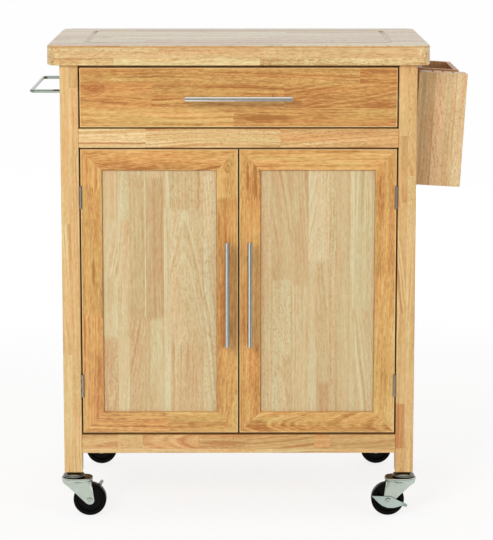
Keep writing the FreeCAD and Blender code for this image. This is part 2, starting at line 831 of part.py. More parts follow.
# Towel rail on the left side
towel_rail_ys = (BODY_DEPTH / 2 - RAIL_SPACING / 2, BODY_DEPTH / 2 + RAIL_SPACING / 2)


def towel_screw_places():
    """Start and end points of the two screws through the left panel into the rail's ends."""
    places = []
    for y in towel_rail_ys:
        start = Vector(-panel_in, y, towel_rail_height)
        places.append((start, start - Vector(SIDE_PANEL_THICKNESS + RAIL_SCREW_BITE, 0, 0)))
    return places


def towel_rail():
    far = -half - RAIL_STAND
    near = -panel_out
    z = towel_rail_height
    front, rear = towel_rail_ys
    reach = RAIL_BEND * (1 - math.cos(math.pi / 4))
    path = Part.Wire(
        [
            Part.LineSegment(Vector(near, front, z), Vector(far + RAIL_BEND, front, z)).toShape(),
            Part.Arc(
                Vector(far + RAIL_BEND, front, z),
                Vector(far + reach, front + reach, z),
                Vector(far, front + RAIL_BEND, z),
            ).toShape(),
            Part.LineSegment(Vector(far, front + RAIL_BEND, z), Vector(far, rear - RAIL_BEND, z)).toShape(),
            Part.Arc(
                Vector(far, rear - RAIL_BEND, z),
                Vector(far + reach, rear - reach, z),
                Vector(far + RAIL_BEND, rear, z),
            ).toShape(),
            Part.LineSegment(Vector(far + RAIL_BEND, rear, z), Vector(near, rear, z)).toShape(),
        ]
    )
    circle = Part.Wire(Part.makeCircle(RAIL_ROD_RADIUS, Vector(near, front, z), X_AXIS))
    shape = path.makePipeShell([circle], True, False)
    for start, end in towel_screw_places():
        shape = shape.cut(rod(SCREW_RADIUS + GLUE_CLEARANCE, start, end))
    return shape


# Screws
def worktop_screw_places():
    y = FRONT_THICKNESS + FRONT_SIDE_GAP + STRETCHER_WIDTH / 4
    places = []
    for step in (-1, 0, 1):
        start = Vector(step * WORKTOP_SCREW_SPACING, y, leg_top - STRETCHER_THICKNESS)
        places.append((start, start + Vector(0, 0, STRETCHER_THICKNESS + SCREW_BITE)))
    return places


def pan_head_screw(start, end):
    heading = (end - start).normalize()
    head = rod(SCREW_HEAD_RADIUS, start - heading * SCREW_HEAD_HEIGHT, start)
    return rod(SCREW_RADIUS, start, end).fuse(head)


def frame_screws():
    return group([pan_head_screw(start, end) for start, end in worktop_screw_places() + towel_screw_places()])


def edging_with_screw_holes():
    shape = worktop_edging()
    for start, end in worktop_screw_places():
        shape = shape.cut(rod(SCREW_RADIUS + GLUE_CLEARANCE, start, end))
    return shape


# Knife block and box, made upright with the inner foot at the origin and then leaned outwards
def leaned(shape):
    shape = shape.copy()
    shape.rotate(Vector(0, 0, 0), Y_AXIS, RACK_TILT)
    shape.translate(Vector(rack_foot_x, RACK_SETBACK, rack_bottom))
    return shape


def knife_block():
    """Two cheeks with slats between them. The gaps between the slats are the slots."""
    blank = eased_block(0, BLOCK_WIDTH, 0, BLOCK_DEPTH, 0, BLOCK_HEIGHT, RACK_ROUND)
    front = (BLOCK_DEPTH - SLOT_LENGTH) / 2
    rear = front + SLOT_LENGTH
    first_slot = (BLOCK_WIDTH - (SLOTS - 1) * SLOT_PITCH - SLOT_WIDTH) / 2
    slots = [first_slot + number * SLOT_PITCH for number in range(SLOTS)]
    slat_starts = [0] + [slot + SLOT_WIDTH for slot in slots]
    slat_ends = slots + [BLOCK_WIDTH]
    cells = [(0, BLOCK_WIDTH, 0, front, BLOCK_HEIGHT), (0, BLOCK_WIDTH, rear, BLOCK_DEPTH, BLOCK_HEIGHT)]
    cells += [(start, end, front, rear, BLOCK_HEIGHT) for start, end in zip(slat_starts, slat_ends)]
    cells += [(slot, slot + SLOT_WIDTH, front, rear, SLOT_FLOOR) for slot in slots]
    return group([leaned(blank.common(block(x0, x1, y0, y1, 0, top))) for x0, x1, y0, y1, top in cells])


def spice_box():
    """Two long walls, two ends between them and a floor."""
    height = BLOCK_HEIGHT + BOX_RIM_RISE
    start = BLOCK_DEPTH
    end = start + BOX_LENGTH
    inside = BOX_WIDTH - BOX_WALL
    blank = eased_block(0, BOX_WIDTH, start, end, 0, height, RACK_ROUND)
    places = (
        (0, BOX_WALL, start, end, 0, height),
        (inside, BOX_WIDTH, start, end, 0, height),
        (BOX_WALL, inside, start, start + BOX_WALL, 0, height),
        (BOX_WALL, inside, end - BOX_WALL, end, 0, height),
        (BOX_WALL, inside, start + BOX_WALL, end - BOX_WALL, 0, BOX_WALL),
    )
    return group([leaned(blank.common(block(*place))) for place in places])


def rack_face_x(height):
    """X of the leaning rack's inner face at a height above its foot."""
    return rack_foot_x + height * math.tan(math.radians(RACK_TILT))


cleat_start = RACK_SETBACK + BLOCK_DEPTH + (BOX_LENGTH - CLEAT_LENGTH) / 2
bevel_slope = math.tan(math.radians(CLEAT_BEVEL))


def bevel_crossing(offset):
    """Height where the bevel, raised by an offset at the panel, meets the rack's face less the clearance."""
    slope = math.tan(math.radians(RACK_TILT))
    return (CLEAT_MIDDLE + offset) / (1 - bevel_slope * slope)


def cleat(points):
    corners = [Vector(x, cleat_start, rack_bottom + height) for x, height in points]
    return prism(corners, Vector(0, CLEAT_LENGTH, 0))


def rack_wall_cleat():
    """The fixed strip on the right panel: its bevelled top holds the rack's strip against the panel."""
    top = bevel_crossing(0)
    return cleat(
        [
            (panel_out, CLEAT_LOW),
            (rack_face_x(CLEAT_LOW) - RACK_CLEARANCE, CLEAT_LOW),
            (rack_face_x(top) - RACK_CLEARANCE, top),
            (panel_out, CLEAT_MIDDLE),
        ]
    )


def rack_cleat():
    """The rack's own strip, which hooks behind the fixed one."""
    rise = RACK_CLEARANCE / math.cos(math.radians(CLEAT_BEVEL))
    near = panel_out + RACK_CLEARANCE
    low = CLEAT_MIDDLE + rise + RACK_CLEARANCE * bevel_slope
    tip = bevel_crossing(rise + RACK_CLEARANCE * bevel_slope)
    return cleat(
        [
            (near, low),
            (rack_face_x(tip), tip),
            (rack_face_x(CLEAT_HIGH), CLEAT_HIGH),
            (near, CLEAT_HIGH),
        ]
    )


# Casters, made at the origin with the wheel trailing towards +X and then turned and placed
def turned_profile(points, axis):
    """A solid of revolution about the origin's Y or Z axis from radius and height pairs."""
    if axis == Y_AXIS:
        corners = [Vector(radius, height, 0) for radius, height in points]
    else:
        corners = [Vector(radius, 0, height) for radius, height in points]
    return Part.Face(Part.makePolygon(corners + corners[:1])).revolve(Vector(0, 0, 0), axis, 360)


def caster_wheel():
    rim_inside = WHEEL_RADIUS - WHEEL_RIM
    edge = WHEEL_WIDTH / 2
    web = WHEEL_WEB / 2
    bore = AXLE_RADIUS + RUNNING_FIT
    half_profile = [
        (bore, edge),
        (WHEEL_HUB_RADIUS, edge),
        (WHEEL_HUB_RADIUS, web),
        (rim_inside, web),
        (rim_inside, edge),
        (WHEEL_RADIUS, edge),
    ]
    wheel = turned_profile(half_profile + [(r, -h) for r, h in reversed(half_profile)], Y_AXIS)
    tread_edges = []
    for edge_curve in wheel.Edges:
        circle = edge_curve.Curve
        if isinstance(circle, Part.Circle) and abs(circle.Radius - WHEEL_RADIUS) < TINY:
            tread_edges.append(edge_curve)
    wheel = wheel.makeFillet(TREAD_ROUND, tread_edges)
    return wheel.translated(Vector(CASTER_TRAIL, 0, WHEEL_RADIUS))


def fork_plate():
    """One side of the fork, from the crown down to the round lug at the axle."""
    lean = math.radians(FORK_LEAN)
    lug_left = CASTER_TRAIL - LUG_RADIUS * math.sin(lean)
    lug_low = WHEEL_RADIUS - LUG_RADIUS * math.cos(lean)
    shoulder = crown_bottom - LUG_RADIUS - FORK_ROOM
    corners = [
        (-CROWN_RADIUS + FORK_SHEET, crown_bottom + CROWN_THICKNESS / 2),
        (-FORK_HEEL, shoulder),
        (lug_left, lug_low),
        (CASTER_TRAIL, WHEEL_RADIUS),
        (CASTER_TRAIL + LUG_RADIUS, WHEEL_RADIUS),
        (CASTER_TRAIL + FORK_TOE, crown_bottom + CROWN_THICKNESS / 2),
    ]
    sheet = Vector(0, FORK_SHEET, 0)
    plate = prism([Vector(x, fork_inside, z) for x, z in corners], sheet)
    hub = Vector(CASTER_TRAIL, fork_inside, WHEEL_RADIUS)
    return plate.fuse(rod(LUG_RADIUS, hub, hub + sheet))


def caster_fork():
    crown = Part.makeCylinder(CROWN_RADIUS, CROWN_THICKNESS, Vector(0, 0, crown_bottom))
    crown = crown.makeFillet(CROWN_ROUND, [e for e in crown.Edges if isinstance(e.Curve, Part.Circle)])
    bridge = block(
        0,
        CASTER_TRAIL + FORK_TOE,
        -fork_outside,
        fork_outside,
        crown_bottom + CROWN_THICKNESS / 2,
        crown_top - FORK_SHEET / 2,
    )
    plate = fork_plate()
    other = plate.mirror(Vector(0, 0, 0), Y_AXIS)
    fork = crown.fuse([bridge, plate, other])
    fork = fork.cut(Part.makeCylinder(KINGPIN_RADIUS + RUNNING_FIT, TOTAL_HEIGHT))
    axle_line = Vector(CASTER_TRAIL, 0, WHEEL_RADIUS)
    reach = Vector(0, 2 * fork_outside, 0)
    return fork.cut(rod(AXLE_RADIUS + GLUE_CLEARANCE, axle_line - reach, axle_line + reach)).removeSplitter()


def caster_axle(braked):
    """A riveted axle. On a braked caster it is longer, and its far head holds the lever."""
    hub = Vector(CASTER_TRAIL, 0, WHEEL_RADIUS)
    near = -fork_outside
    far = fork_outside + (LEVER_SHEET + 2 * LEVER_GAP if braked else 0)
    shaft = rod(AXLE_RADIUS, hub + Vector(0, near, 0), hub + Vector(0, far, 0))
    near_head = rod(AXLE_HEAD_RADIUS, hub + Vector(0, near - AXLE_HEAD_HEIGHT, 0), hub + Vector(0, near, 0))
    far_head = rod(AXLE_HEAD_RADIUS, hub + Vector(0, far, 0), hub + Vector(0, far + AXLE_HEAD_HEIGHT, 0))
    return shaft.fuse([near_head, far_head]).removeSplitter()


def brake_lever(angle):
    """A leaf-shaped rocker on the axle with a tab bent out at each tip, turned up at the trailing end."""
    y0 = fork_outside + LEVER_GAP
    tips = [Vector(-LEVER_HALF_LENGTH, y0, 0), Vector(LEVER_HALF_LENGTH, y0, 0)]
    upper = Part.Arc(tips[0], Vector(0, y0, LEVER_HALF_HEIGHT), tips[1]).toShape()
    lower = Part.Arc(tips[1], Vector(0, y0, -LEVER_HALF_HEIGHT), tips[0]).toShape()
    leaf = Part.Face(Part.Wire([upper, lower])).extrude(Vector(0, LEVER_SHEET, 0))
    blunt = LEVER_HALF_LENGTH - LEVER_SHEET
    leaf = leaf.common(block(-blunt, blunt, y0, y0 + LEVER_SHEET, -LEVER_HALF_HEIGHT, LEVER_HALF_HEIGHT))
    tab_half = LEVER_TAB_WIDTH / 2
    for x0 in (-blunt, blunt - LEVER_SHEET):
        leaf = leaf.fuse(block(x0, x0 + LEVER_SHEET, y0, y0 + LEVER_TAB, -tab_half, tab_half))
    hole = rod(AXLE_RADIUS + RUNNING_FIT, Vector(0, 0, 0), Vector(0, 2 * y0, 0))
    leaf = leaf.cut(hole).removeSplitter()
    leaf.rotate(Vector(0, 0, 0), Y_AXIS, -angle)
    return leaf.translated(Vector(CASTER_TRAIL, 0, WHEEL_RADIUS))


def caster_stem():
    """The threaded stem, the fixed cap under the leg and the kingpin with its head below the crown."""
    cap_low = crown_top + CROWN_GAP
    pin_low = crown_bottom - CROWN_GAP
    points = [
        (0, pin_low - KINGPIN_HEAD_HEIGHT),
        (KINGPIN_HEAD_RADIUS, pin_low - KINGPIN_HEAD_HEIGHT),
        (KINGPIN_HEAD_RADIUS, pin_low),
        (KINGPIN_RADIUS, pin_low),
        (KINGPIN_RADIUS, cap_low),
        (CAP_RADIUS, cap_low),
        (CAP_RADIUS, cap_low + CAP_RIM),
        ((CAP_RADIUS + CAP_NECK_RADIUS) / 2, leg_bottom - CAP_SHOULDER_DROP),
        (CAP_NECK_RADIUS, leg_bottom),
        (KINGPIN_RADIUS, leg_bottom),
        (KINGPIN_RADIUS, leg_bottom + STEM_LENGTH),
        (0, leg_bottom + STEM_LENGTH),
    ]
    return turned_profile(points, Z_AXIS)


def caster_insert():
    sleeve = Part.makeCylinder(INSERT_RADIUS, INSERT_LENGTH, Vector(0, 0, leg_bottom))
    return sleeve.cut(Part.makeCylinder(KINGPIN_RADIUS + RUNNING_FIT, TOTAL_HEIGHT))


caster_places = {
    "front_left": (-leg_middle_x, leg_middles_y["front"], 0),
    "front_right": (leg_middle_x, leg_middles_y["front"], 180),
    "rear_left": (-leg_middle_x, leg_middles_y["rear"], 0),
    "rear_right": (leg_middle_x, leg_middles_y["rear"], 180),
}
lever_angles = {"front_left": LEVER_FREE_ANGLE, "front_right": LEVER_LOCKED_ANGLE}


def placed(shape, place):
    x, y, turn = caster_places[place]
    shape = shape.copy()
    shape.rotate(Vector(0, 0, 0), Z_AXIS, turn)
    shape.translate(Vector(x, y, 0))
    return shape


def caster_nodes():
    nodes = {
        "caster_stems": group([placed(caster_stem(), place) for place in caster_places]),
        "caster_inserts": group([placed(caster_insert(), place) for place in caster_places]),
    }
    for place in caster_places:
        fork = [caster_fork(), caster_axle(place in lever_angles)]
        nodes[place + "_fork"] = group([placed(piece, place) for piece in fork])
        nodes[place + "_wheel"] = placed(caster_wheel(), place)
    for place, angle in lever_angles.items():
        nodes[place + "_brake_lever"] = placed(brake_lever(angle), place)
    return nodes


def door_nodes():
    left = {
        "hinge_stile": door_hinge_stile(),
        "closing_stile": door_closing_stile(),
        "rails": door_rails(),
        "panel": door_panel(),
        "handle": group(bar_handle(door_handle_middle, Z_AXIS)),
        "hinge_leaves": door_hinge_leaves(),
        "fixings": door_fixings(),
    }
    nodes = {"left_door_" + name: shape for name, shape in left.items()}
    nodes.update({"right_door_" + name: mirrored(shape) for name, shape in left.items()})
    return nodes


def drawer_nodes():
    handle = bar_handle(drawer_handle_middle, X_AXIS)
    return {
        "drawer_front": drawer_front(),
        "drawer_sides": drawer_sides(),
        "drawer_back": drawer_back(),
        "drawer_bottom": drawer_bottom(),
        "drawer_handle": group(handle + handle_bolts(drawer_handle_middle, X_AXIS)),
        "drawer_runners": group(both_sides(runner_slide())),
        "runner_channels": group(both_sides(runner_channel())),
        "runner_ball_cages": runner_ball_cages(),
    }


def frame_nodes():
    front_left = left_leg("front")
    rear_left = left_leg("rear")
    return {
        "worktop_board": worktop_board(),
        "worktop_edging": edging_with_screw_holes(),
        "front_left_leg": front_left,
        "front_right_leg": mirrored(front_left),
        "rear_left_leg": rear_left,
        "rear_right_leg": mirrored(rear_left),
        "left_side_panel": left_side_panel(),
        "right_side_panel": mirrored(left_side_panel_blank()),
        "back_panel": back_panel_block(0),
        "bottom_panel": bottom_panel(),
        "inner_battens": inner_battens(),
        "shelf": shelf(),
        "shelf_pins": shelf_pins(),
        "middle_front_rail": rail(0, mid_rail_bottom),
        "bottom_front_rail": rail(0, low_rail_bottom),
        "rear_rails_and_stretcher": rear_frame_rails(),
        "frame_dowels": frame_dowels(),
        "frame_screws": frame_screws(),
        "magnet_catch": magnet_catch(),
        "hinge_leg_leaves": hinge_leg_leaves(),
        "hinge_pins": hinge_pins(),
        "towel_rail": towel_rail(),
        "rack_wall_cleat": rack_wall_cleat(),
    }


def rack_nodes():
    return {"knife_block": knife_block(), "spice_box": spice_box(), "rack_cleat": rack_cleat()}


def all_nodes():
    """Every node about the middle of the cabinet, with its front plane at Y = 0."""
    nodes = {}
    for part in (frame_nodes(), drawer_nodes(), door_nodes(), caster_nodes(), rack_nodes()):
        nodes.update(part)
    return nodes


def origin_shift():
    """The move from the cabinet's own middle to the middle of the whole trolley's box."""
    tilt = math.radians(RACK_TILT)
    left = -half - RAIL_STAND - RAIL_ROD_RADIUS
    right = rack_foot_x + BLOCK_WIDTH * math.cos(tilt) + BLOCK_HEIGHT * math.sin(tilt)
    right -= RACK_ROUND * (math.cos(tilt) + math.sin(tilt) - 1)
    front = -HANDLE_STAND - HANDLE_RADIUS
    back = BODY_DEPTH / 2 + WORKTOP_DEPTH / 2
    return Vector(-(left + right) / 2, -(front + back) / 2, 0)


def main():
    os.makedirs("parts", exist_ok=True)
    shift = origin_shift()
    for name, shape in all_nodes().items():
        shape.translated(shift).exportStep("parts/" + name + ".step")
        print(name, len(shape.Solids), "valid" if shape.isValid() else "not valid", round(shape.Volume))


if __name__ == "__main__":
    main()
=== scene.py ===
# %% [markdown]
# A kitchen trolley of edge-glued rubberwood on four swivel casters. The solid parts come in as a finished
# frame, and this lesson dresses them: it gives every board its own grain and every metal its own finish,
# and it models the small moulded and pressed pieces again where a real one has softer shapes than a plain
# solid.

# %% Load the frame
import json
import math

import bmesh
import bpy
from mathutils import Euler, Matrix, Vector


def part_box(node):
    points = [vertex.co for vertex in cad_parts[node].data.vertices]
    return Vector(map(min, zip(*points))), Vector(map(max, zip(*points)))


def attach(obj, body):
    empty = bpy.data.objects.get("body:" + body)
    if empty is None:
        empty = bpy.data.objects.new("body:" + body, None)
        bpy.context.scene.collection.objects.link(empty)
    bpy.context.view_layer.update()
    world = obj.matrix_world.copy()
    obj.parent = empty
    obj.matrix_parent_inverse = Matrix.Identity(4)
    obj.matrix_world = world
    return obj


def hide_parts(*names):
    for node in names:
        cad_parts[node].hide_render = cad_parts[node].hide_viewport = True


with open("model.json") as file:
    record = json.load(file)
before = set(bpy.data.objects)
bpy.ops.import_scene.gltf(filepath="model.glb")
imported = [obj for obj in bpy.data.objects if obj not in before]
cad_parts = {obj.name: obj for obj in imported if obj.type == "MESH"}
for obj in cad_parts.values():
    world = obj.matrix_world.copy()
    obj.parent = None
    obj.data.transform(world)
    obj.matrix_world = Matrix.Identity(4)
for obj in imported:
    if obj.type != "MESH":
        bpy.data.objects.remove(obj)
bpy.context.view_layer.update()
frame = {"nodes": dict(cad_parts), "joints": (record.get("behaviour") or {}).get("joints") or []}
nodes = frame["nodes"]

# %% [markdown]
# The trolley was photographed from straight in front with a long lens, a little above the worktop. A camera
# far away with a long lens keeps the front almost square. The lens follows from the picture's height in
# pixels, because Blender fits the sensor to the longer side.

# %% Camera
PICTURE_HEIGHT = 540
FOCAL_PIXELS = 2376.2
SENSOR = 36.0
CAMERA_PLACE = -0.0186, -4.6045, 1.235
LOOKS_DOWN = 9.762
LOOKS_RIGHT = 0.173
camera_data = bpy.data.cameras.new("camera")
camera_data.sensor_width = SENSOR
camera_data.lens = FOCAL_PIXELS / PICTURE_HEIGHT * SENSOR
camera_data.clip_end = 100.0
camera = bpy.data.objects.new("camera", camera_data)
camera.location = CAMERA_PLACE
camera.rotation_euler = Euler((math.radians(90 - LOOKS_DOWN), 0, math.radians(-LOOKS_RIGHT)))
bpy.context.scene.collection.objects.link(camera)
bpy.context.scene.camera = camera
print("camera lens", round(camera_data.lens, 1), "mm")

# %% [markdown]
# A shader is a small graph of nodes. The first helper adds a node and fills its sockets with values or with
# links. The others are the few kinds of node that come again and again, and each hands back its result.

# %% Node helpers
def put(tree, kind, sockets=None, **settings):
    made = tree.nodes.new(kind)
    for name, value in settings.items():
        setattr(made, name, value)
    for key, value in (sockets or {}).items():
        if isinstance(value, bpy.types.NodeSocket):
            tree.links.new(value, made.inputs[key])
        else:
            made.inputs[key].default_value = value
    return made


def maths(tree, operation, *terms):
    return put(tree, "ShaderNodeMath", dict(enumerate(terms)), operation=operation).outputs[0]


def times(tree, first, second):
    return maths(tree, "MULTIPLY", first, second)


def minus(tree, first, second):
    return maths(tree, "SUBTRACT", first, second)


def between(tree, value, low, high):
    """A smooth step from 0 to 1 as the value goes from low to high."""
    sockets = {0: value, 1: low, 2: high}
    return put(tree, "ShaderNodeMapRange", sockets, interpolation_type="SMOOTHSTEP").outputs[0]


def fading(tree, value, low, high):
    """A smooth step the other way, from 1 to 0."""
    return minus(tree, 1.0, between(tree, value, low, high))


def blend(tree, share, first, second):
    return put(tree, "ShaderNodeMix", {0: share, 2: first, 3: second}).outputs[0]


def vectors(tree, operation, *terms):
    return put(tree, "ShaderNodeVectorMath", dict(enumerate(terms)), operation=operation).outputs


def apart(tree, vector):
    return put(tree, "ShaderNodeSeparateXYZ", {0: vector}).outputs


def place_on(tree):
    """The point that is being shaded, in metres from the origin."""
    return put(tree, "ShaderNodeTexCoord").outputs["Object"]


print("node helpers ready")

# %% [markdown]
# The studio is a white sweep. The floor is a wide pale plane that catches the trolley's shadow. To the
# camera it glows a little, and more so far away, so that it reads as white paper while the shadow stays. In
# mirrored light the paper lies round the trolley's sides and back, the room in front of it is dim, and a
# white card lies in front on the left: the card draws the bright stripe down each upright bar, and the dim
# room the grey beside it.

# %% Floor
FLOOR_HALF = 40.0
FLOOR_GREY, FLOOR_PALE = 0.22, 0.85
NEAR_GLOW, FAR_GLOW = 0.81, 0.87
GLOW_GROWS = 0.6, 3.0
DIM_ROOM, BRIGHT_ROOM = 0.34, 0.88
PAPER_GROWS = -1.5, -0.4
PAPER_ASIDE = 0.15, 0.3
CARD_GLOW = 2.3
CARD_FROM, CARD_TO, CARD_FADE = [math.radians(angle) for angle in (8, 46, 10)]
FRONT_PLANE = -0.2045
WHITE = 1, 1, 1, 1


def fresh_material(name):
    material = bpy.data.materials.new(name)
    material.use_nodes = True
    material.node_tree.nodes.clear()
    return material, material.node_tree


def matt(tree, level):
    return put(tree, "ShaderNodeBsdfDiffuse", {"Color": (level, level, level, 1)}).outputs[0]


floor_mesh = bpy.data.meshes.new("floor")
bm = bmesh.new()
bmesh.ops.create_grid(bm, x_segments=1, y_segments=1, size=FLOOR_HALF)
bm.to_mesh(floor_mesh)
bm.free()
floor = bpy.data.objects.new("floor", floor_mesh)
bpy.context.scene.collection.objects.link(floor)
floor_paint, tree = fresh_material("floor_paint")
rays = put(tree, "ShaderNodeLightPath").outputs
seen = maths(tree, "MAXIMUM", rays["Is Camera Ray"], rays["Is Glossy Ray"])
seen = maths(tree, "MAXIMUM", seen, rays["Is Transmission Ray"])
place = place_on(tree)
far = between(tree, vectors(tree, "LENGTH", place)["Value"], *GLOW_GROWS)
to_camera = blend(tree, far, NEAR_GLOW, FAR_GLOW)
floor_x, floor_y = apart(tree, place)[:2]
aside = between(tree, maths(tree, "ABSOLUTE", floor_x), *PAPER_ASIDE)
on_paper = times(tree, between(tree, floor_y, *PAPER_GROWS), aside)
to_metal = blend(tree, on_paper, DIM_ROOM, BRIGHT_ROOM)
to_left = maths(tree, "ARCTAN2", times(tree, floor_x, -1.0), minus(tree, FRONT_PLANE, floor_y))
card_start = between(tree, to_left, CARD_FROM, CARD_FROM + CARD_FADE)
on_card = times(tree, card_start, fading(tree, to_left, CARD_TO - CARD_FADE, CARD_TO))
to_metal = blend(tree, on_card, to_metal, CARD_GLOW)
strength = blend(tree, rays["Is Glossy Ray"], to_camera, to_metal)
glow = put(tree, "ShaderNodeEmission", {"Color": WHITE, "Strength": strength}).outputs[0]
shown = put(tree, "ShaderNodeAddShader", {0: matt(tree, FLOOR_GREY), 1: glow}).outputs[0]
surface = put(tree, "ShaderNodeMixShader", {0: seen, 1: matt(tree, FLOOR_PALE), 2: shown})
put(tree, "ShaderNodeOutputMaterial", {"Surface": surface.outputs[0]})
floor_mesh.materials.append(floor_paint)
print("floor", 2 * FLOOR_HALF, "m wide")

# %% [markdown]
# The room lights the trolley evenly. Its back wall is the white sweep and its ceiling is white, and metal
# shows both, but the side where the camera stands is dimmer, as it is in a real studio.

# %% World
WORLD_LIGHT = 0.54
CEILING = 1.4
WALL_GROWS = -0.3, 0.35
CEILING_GROWS = 0.45, 0.85
world = bpy.data.worlds.new("studio")
world.use_nodes = True
bpy.context.scene.world = world
tree = world.node_tree
tree.nodes.clear()
rays = put(tree, "ShaderNodeLightPath").outputs
ray_y, ray_z = apart(tree, put(tree, "ShaderNodeTexCoord").outputs["Generated"])[1:]
sweep = blend(tree, between(tree, ray_y, *WALL_GROWS), DIM_ROOM, BRIGHT_ROOM)
sweep = blend(tree, between(tree, ray_z, *CEILING_GROWS), sweep, CEILING)
mirrored = maths(tree, "MAXIMUM", rays["Is Glossy Ray"], rays["Is Transmission Ray"])
strength = blend(tree, mirrored, WORLD_LIGHT, sweep)
strength = blend(tree, rays["Is Camera Ray"], strength, 1.0)
sky = put(tree, "ShaderNodeBackground", {"Color": WHITE, "Strength": strength})
put(tree, "ShaderNodeOutputWorld", {"Surface": sky.outputs[0]})
print("world light", WORLD_LIGHT)

# %% [markdown]
# The key light stands a little to the left of the camera and a little above it: it throws the handles' soft
# shadows to the right and down, and leaves a strip of the knife block in the cabinet's shade. A weak fill
# stands on the right, and another lamp lights the back, which the camera never sees from the front. Lacquer
# and metal mirror the room and not the lamps, so the worktop keeps its grain when it is seen from behind.

# %% Lamps
def soft_lamp(name, place, aim, side, watts):
    lamp = bpy.data.lights.new(name, "AREA")
    lamp.shape = "SQUARE"
    lamp.size = side
    lamp.energy = watts
    made = bpy.data.objects.new(name, lamp)
    made.location = place
    made.rotation_euler = (Vector(aim) - Vector(place)).to_track_quat("-Z", "Y").to_euler()
    made.visible_camera = False
    made.visible_glossy = False
    bpy.context.scene.collection.objects.link(made)
    print(name, watts, "W")


soft_lamp("key_lamp", place=(-1.45, -3.9, 2.15), aim=(0, -0.2, 0.5), side=1.3, watts=70)
soft_lamp("fill_lamp", place=(2.6, -3.0, 1.5), aim=(0, -0.2, 0.5), side=1.8, watts=20)
soft_lamp("back_lamp", place=(1.2, 4.2, 0.9), aim=(0, 0.2, 0.45), side=1.8, watts=42)

# %% [markdown]
# Rubberwood boards are glued up from narrow staves, and each stave from short pieces whose ends meet in
# comb-shaped finger joints. Every point of a board therefore belongs to one piece, and the shader needs
# three facts about it: how dark the piece is, where the heart of its tree lay, and a chance number. Hidden
# boards draw these facts by chance. A group of nodes numbers the staves across and the pieces along, and
# throws dice for each number. The first helpers make such a group with named sockets, and put it to use.

# %% A group with named sockets
def new_group(name, given, made):
    """A group of nodes, whose sockets are listed by their kind."""
    group = bpy.data.node_groups.new(name, "ShaderNodeTree")
    for side, kinds in (("INPUT", given), ("OUTPUT", made)):
        for kind, titles in kinds.items():
            for title in titles:
                group.interface.new_socket(title, in_out=side, socket_type="NodeSocket" + kind)
    return group, group.nodes.new("NodeGroupInput").outputs, group.nodes.new("NodeGroupOutput").inputs


def use_group(tree, group, sockets):
    return put(tree, "ShaderNodeGroup", sockets, node_tree=group).outputs


print("group helpers ready")

# %% Pieces by chance
FINGER_PITCH = 0.0045
SEAM_HALF = 0.0003
HEART_SPREAD = 0.16
STAGGER = 9.73


def scaled(tree, value, factor, start):
    """The start, with a number of times the value on top."""
    return maths(tree, "MULTIPLY_ADD", value, factor, start)


def together(tree, *values):
    return put(tree, "ShaderNodeCombineXYZ", dict(enumerate(values))).outputs[0]


def dice(tree, *numbers):
    return put(tree, "ShaderNodeTexWhiteNoise", {"Vector": together(tree, *numbers)}).outputs


def swing(tree, chance, size, middle):
    """The middle value, moved up and down by a number from 0 to 1."""
    return scaled(tree, minus(tree, chance, 0.5), size, middle)


def comb_along(tree, across, along, finger):
    """The place along the board, shifted to and fro across it, so that a joint is a comb of fingers."""
    comb = maths(tree, "PINGPONG", across, FINGER_PITCH / 2)
    return scaled(tree, scaled(tree, comb, 2 / FINGER_PITCH, -0.5), finger, along)


chance_given = {"Vector": ["Board"],
                "Float": ["Stave Width", "Piece Length", "Finger Length", "Seed", "Contrast"]}
chance_made = {"Vector": ["Piece"], "Float": ["Seam"]}
chance_staves, given, made = new_group("chance_staves", chance_given, chance_made)
tree = chance_staves
across, along = apart(tree, given["Board"])[:2]
stave_place = maths(tree, "DIVIDE", across, given["Stave Width"])
stave = maths(tree, "FLOOR", stave_place)
stave_chance = dice(tree, stave, given["Seed"], 0.5)["Value"]
combed = comb_along(tree, across, along, given["Finger Length"])
piece_place = maths(tree, "DIVIDE", combed, given["Piece Length"])
piece = maths(tree, "FLOOR", scaled(tree, stave_chance, STAGGER, piece_place))
drawn = dice(tree, stave, piece, given["Seed"])["Color"]
draws = put(tree, "ShaderNodeSeparateColor", {0: drawn}).outputs
tone = swing(tree, draws[0], given["Contrast"], 0.5)
stave_middle = times(tree, maths(tree, "ADD", stave, 0.5), given["Stave Width"])
heart = swing(tree, draws[1], HEART_SPREAD, stave_middle)
tree.links.new(together(tree, tone, heart, draws[2]), made["Piece"])
to_edge = times(tree, maths(tree, "PINGPONG", stave_place, 0.5), given["Stave Width"])
tree.links.new(maths(tree, "LESS_THAN", to_edge, SEAM_HALF), made["Seam"])
print("chance_staves group:", len(tree.nodes), "nodes")

# %% [markdown]
# The boards that face the room are laid one by one instead, because a buyer knows them by their pieces: the
# knot on the drawer front, the dark foot of the right leg, the rosy band in the left panel. A board is a
# list of staves, each with its width and its pieces, and each piece with the place where it ends, its tone
# and its heart, in millimetres. A fourth number, if any, picks the grain, and otherwise the count of pieces
# does.

# %% Pieces laid one by one
MM = 0.001
CHANCE_STEP = 0.6180339


def laid_staves(tree, board, staves, finger, count):
    across, along = apart(tree, board)[:2]
    along = comb_along(tree, across, along, finger * MM)
    laid, seam, low = None, 0.0, 0.0
    for width, pieces in staves:
        piece, last, start = None, None, 0.0
        for end, tone, heart, *grain_number in pieces:
            count += 1
            chance = grain_number[0] if grain_number else count * CHANCE_STEP % 1.0
            facts = Vector((tone, heart * MM, chance))
            if piece is None:
                piece = together(tree, *facts)
            else:
                past = maths(tree, "GREATER_THAN", along, start * MM)
                step = together(tree, past, past, past)
                piece = vectors(tree, "MULTIPLY_ADD", step, facts - last, piece)[0]
            last, start = facts, end
        if laid is None:
            laid = piece
        else:
            past = maths(tree, "GREATER_THAN", across, low * MM)
            laid = put(tree, "ShaderNodeMix", {0: past, 4: laid, 5: piece}, data_type="VECTOR").outputs[1]
            seam = maths(tree, "MAXIMUM", seam, maths(tree, "COMPARE", across, low * MM, SEAM_HALF))
        low += width
    return laid, seam


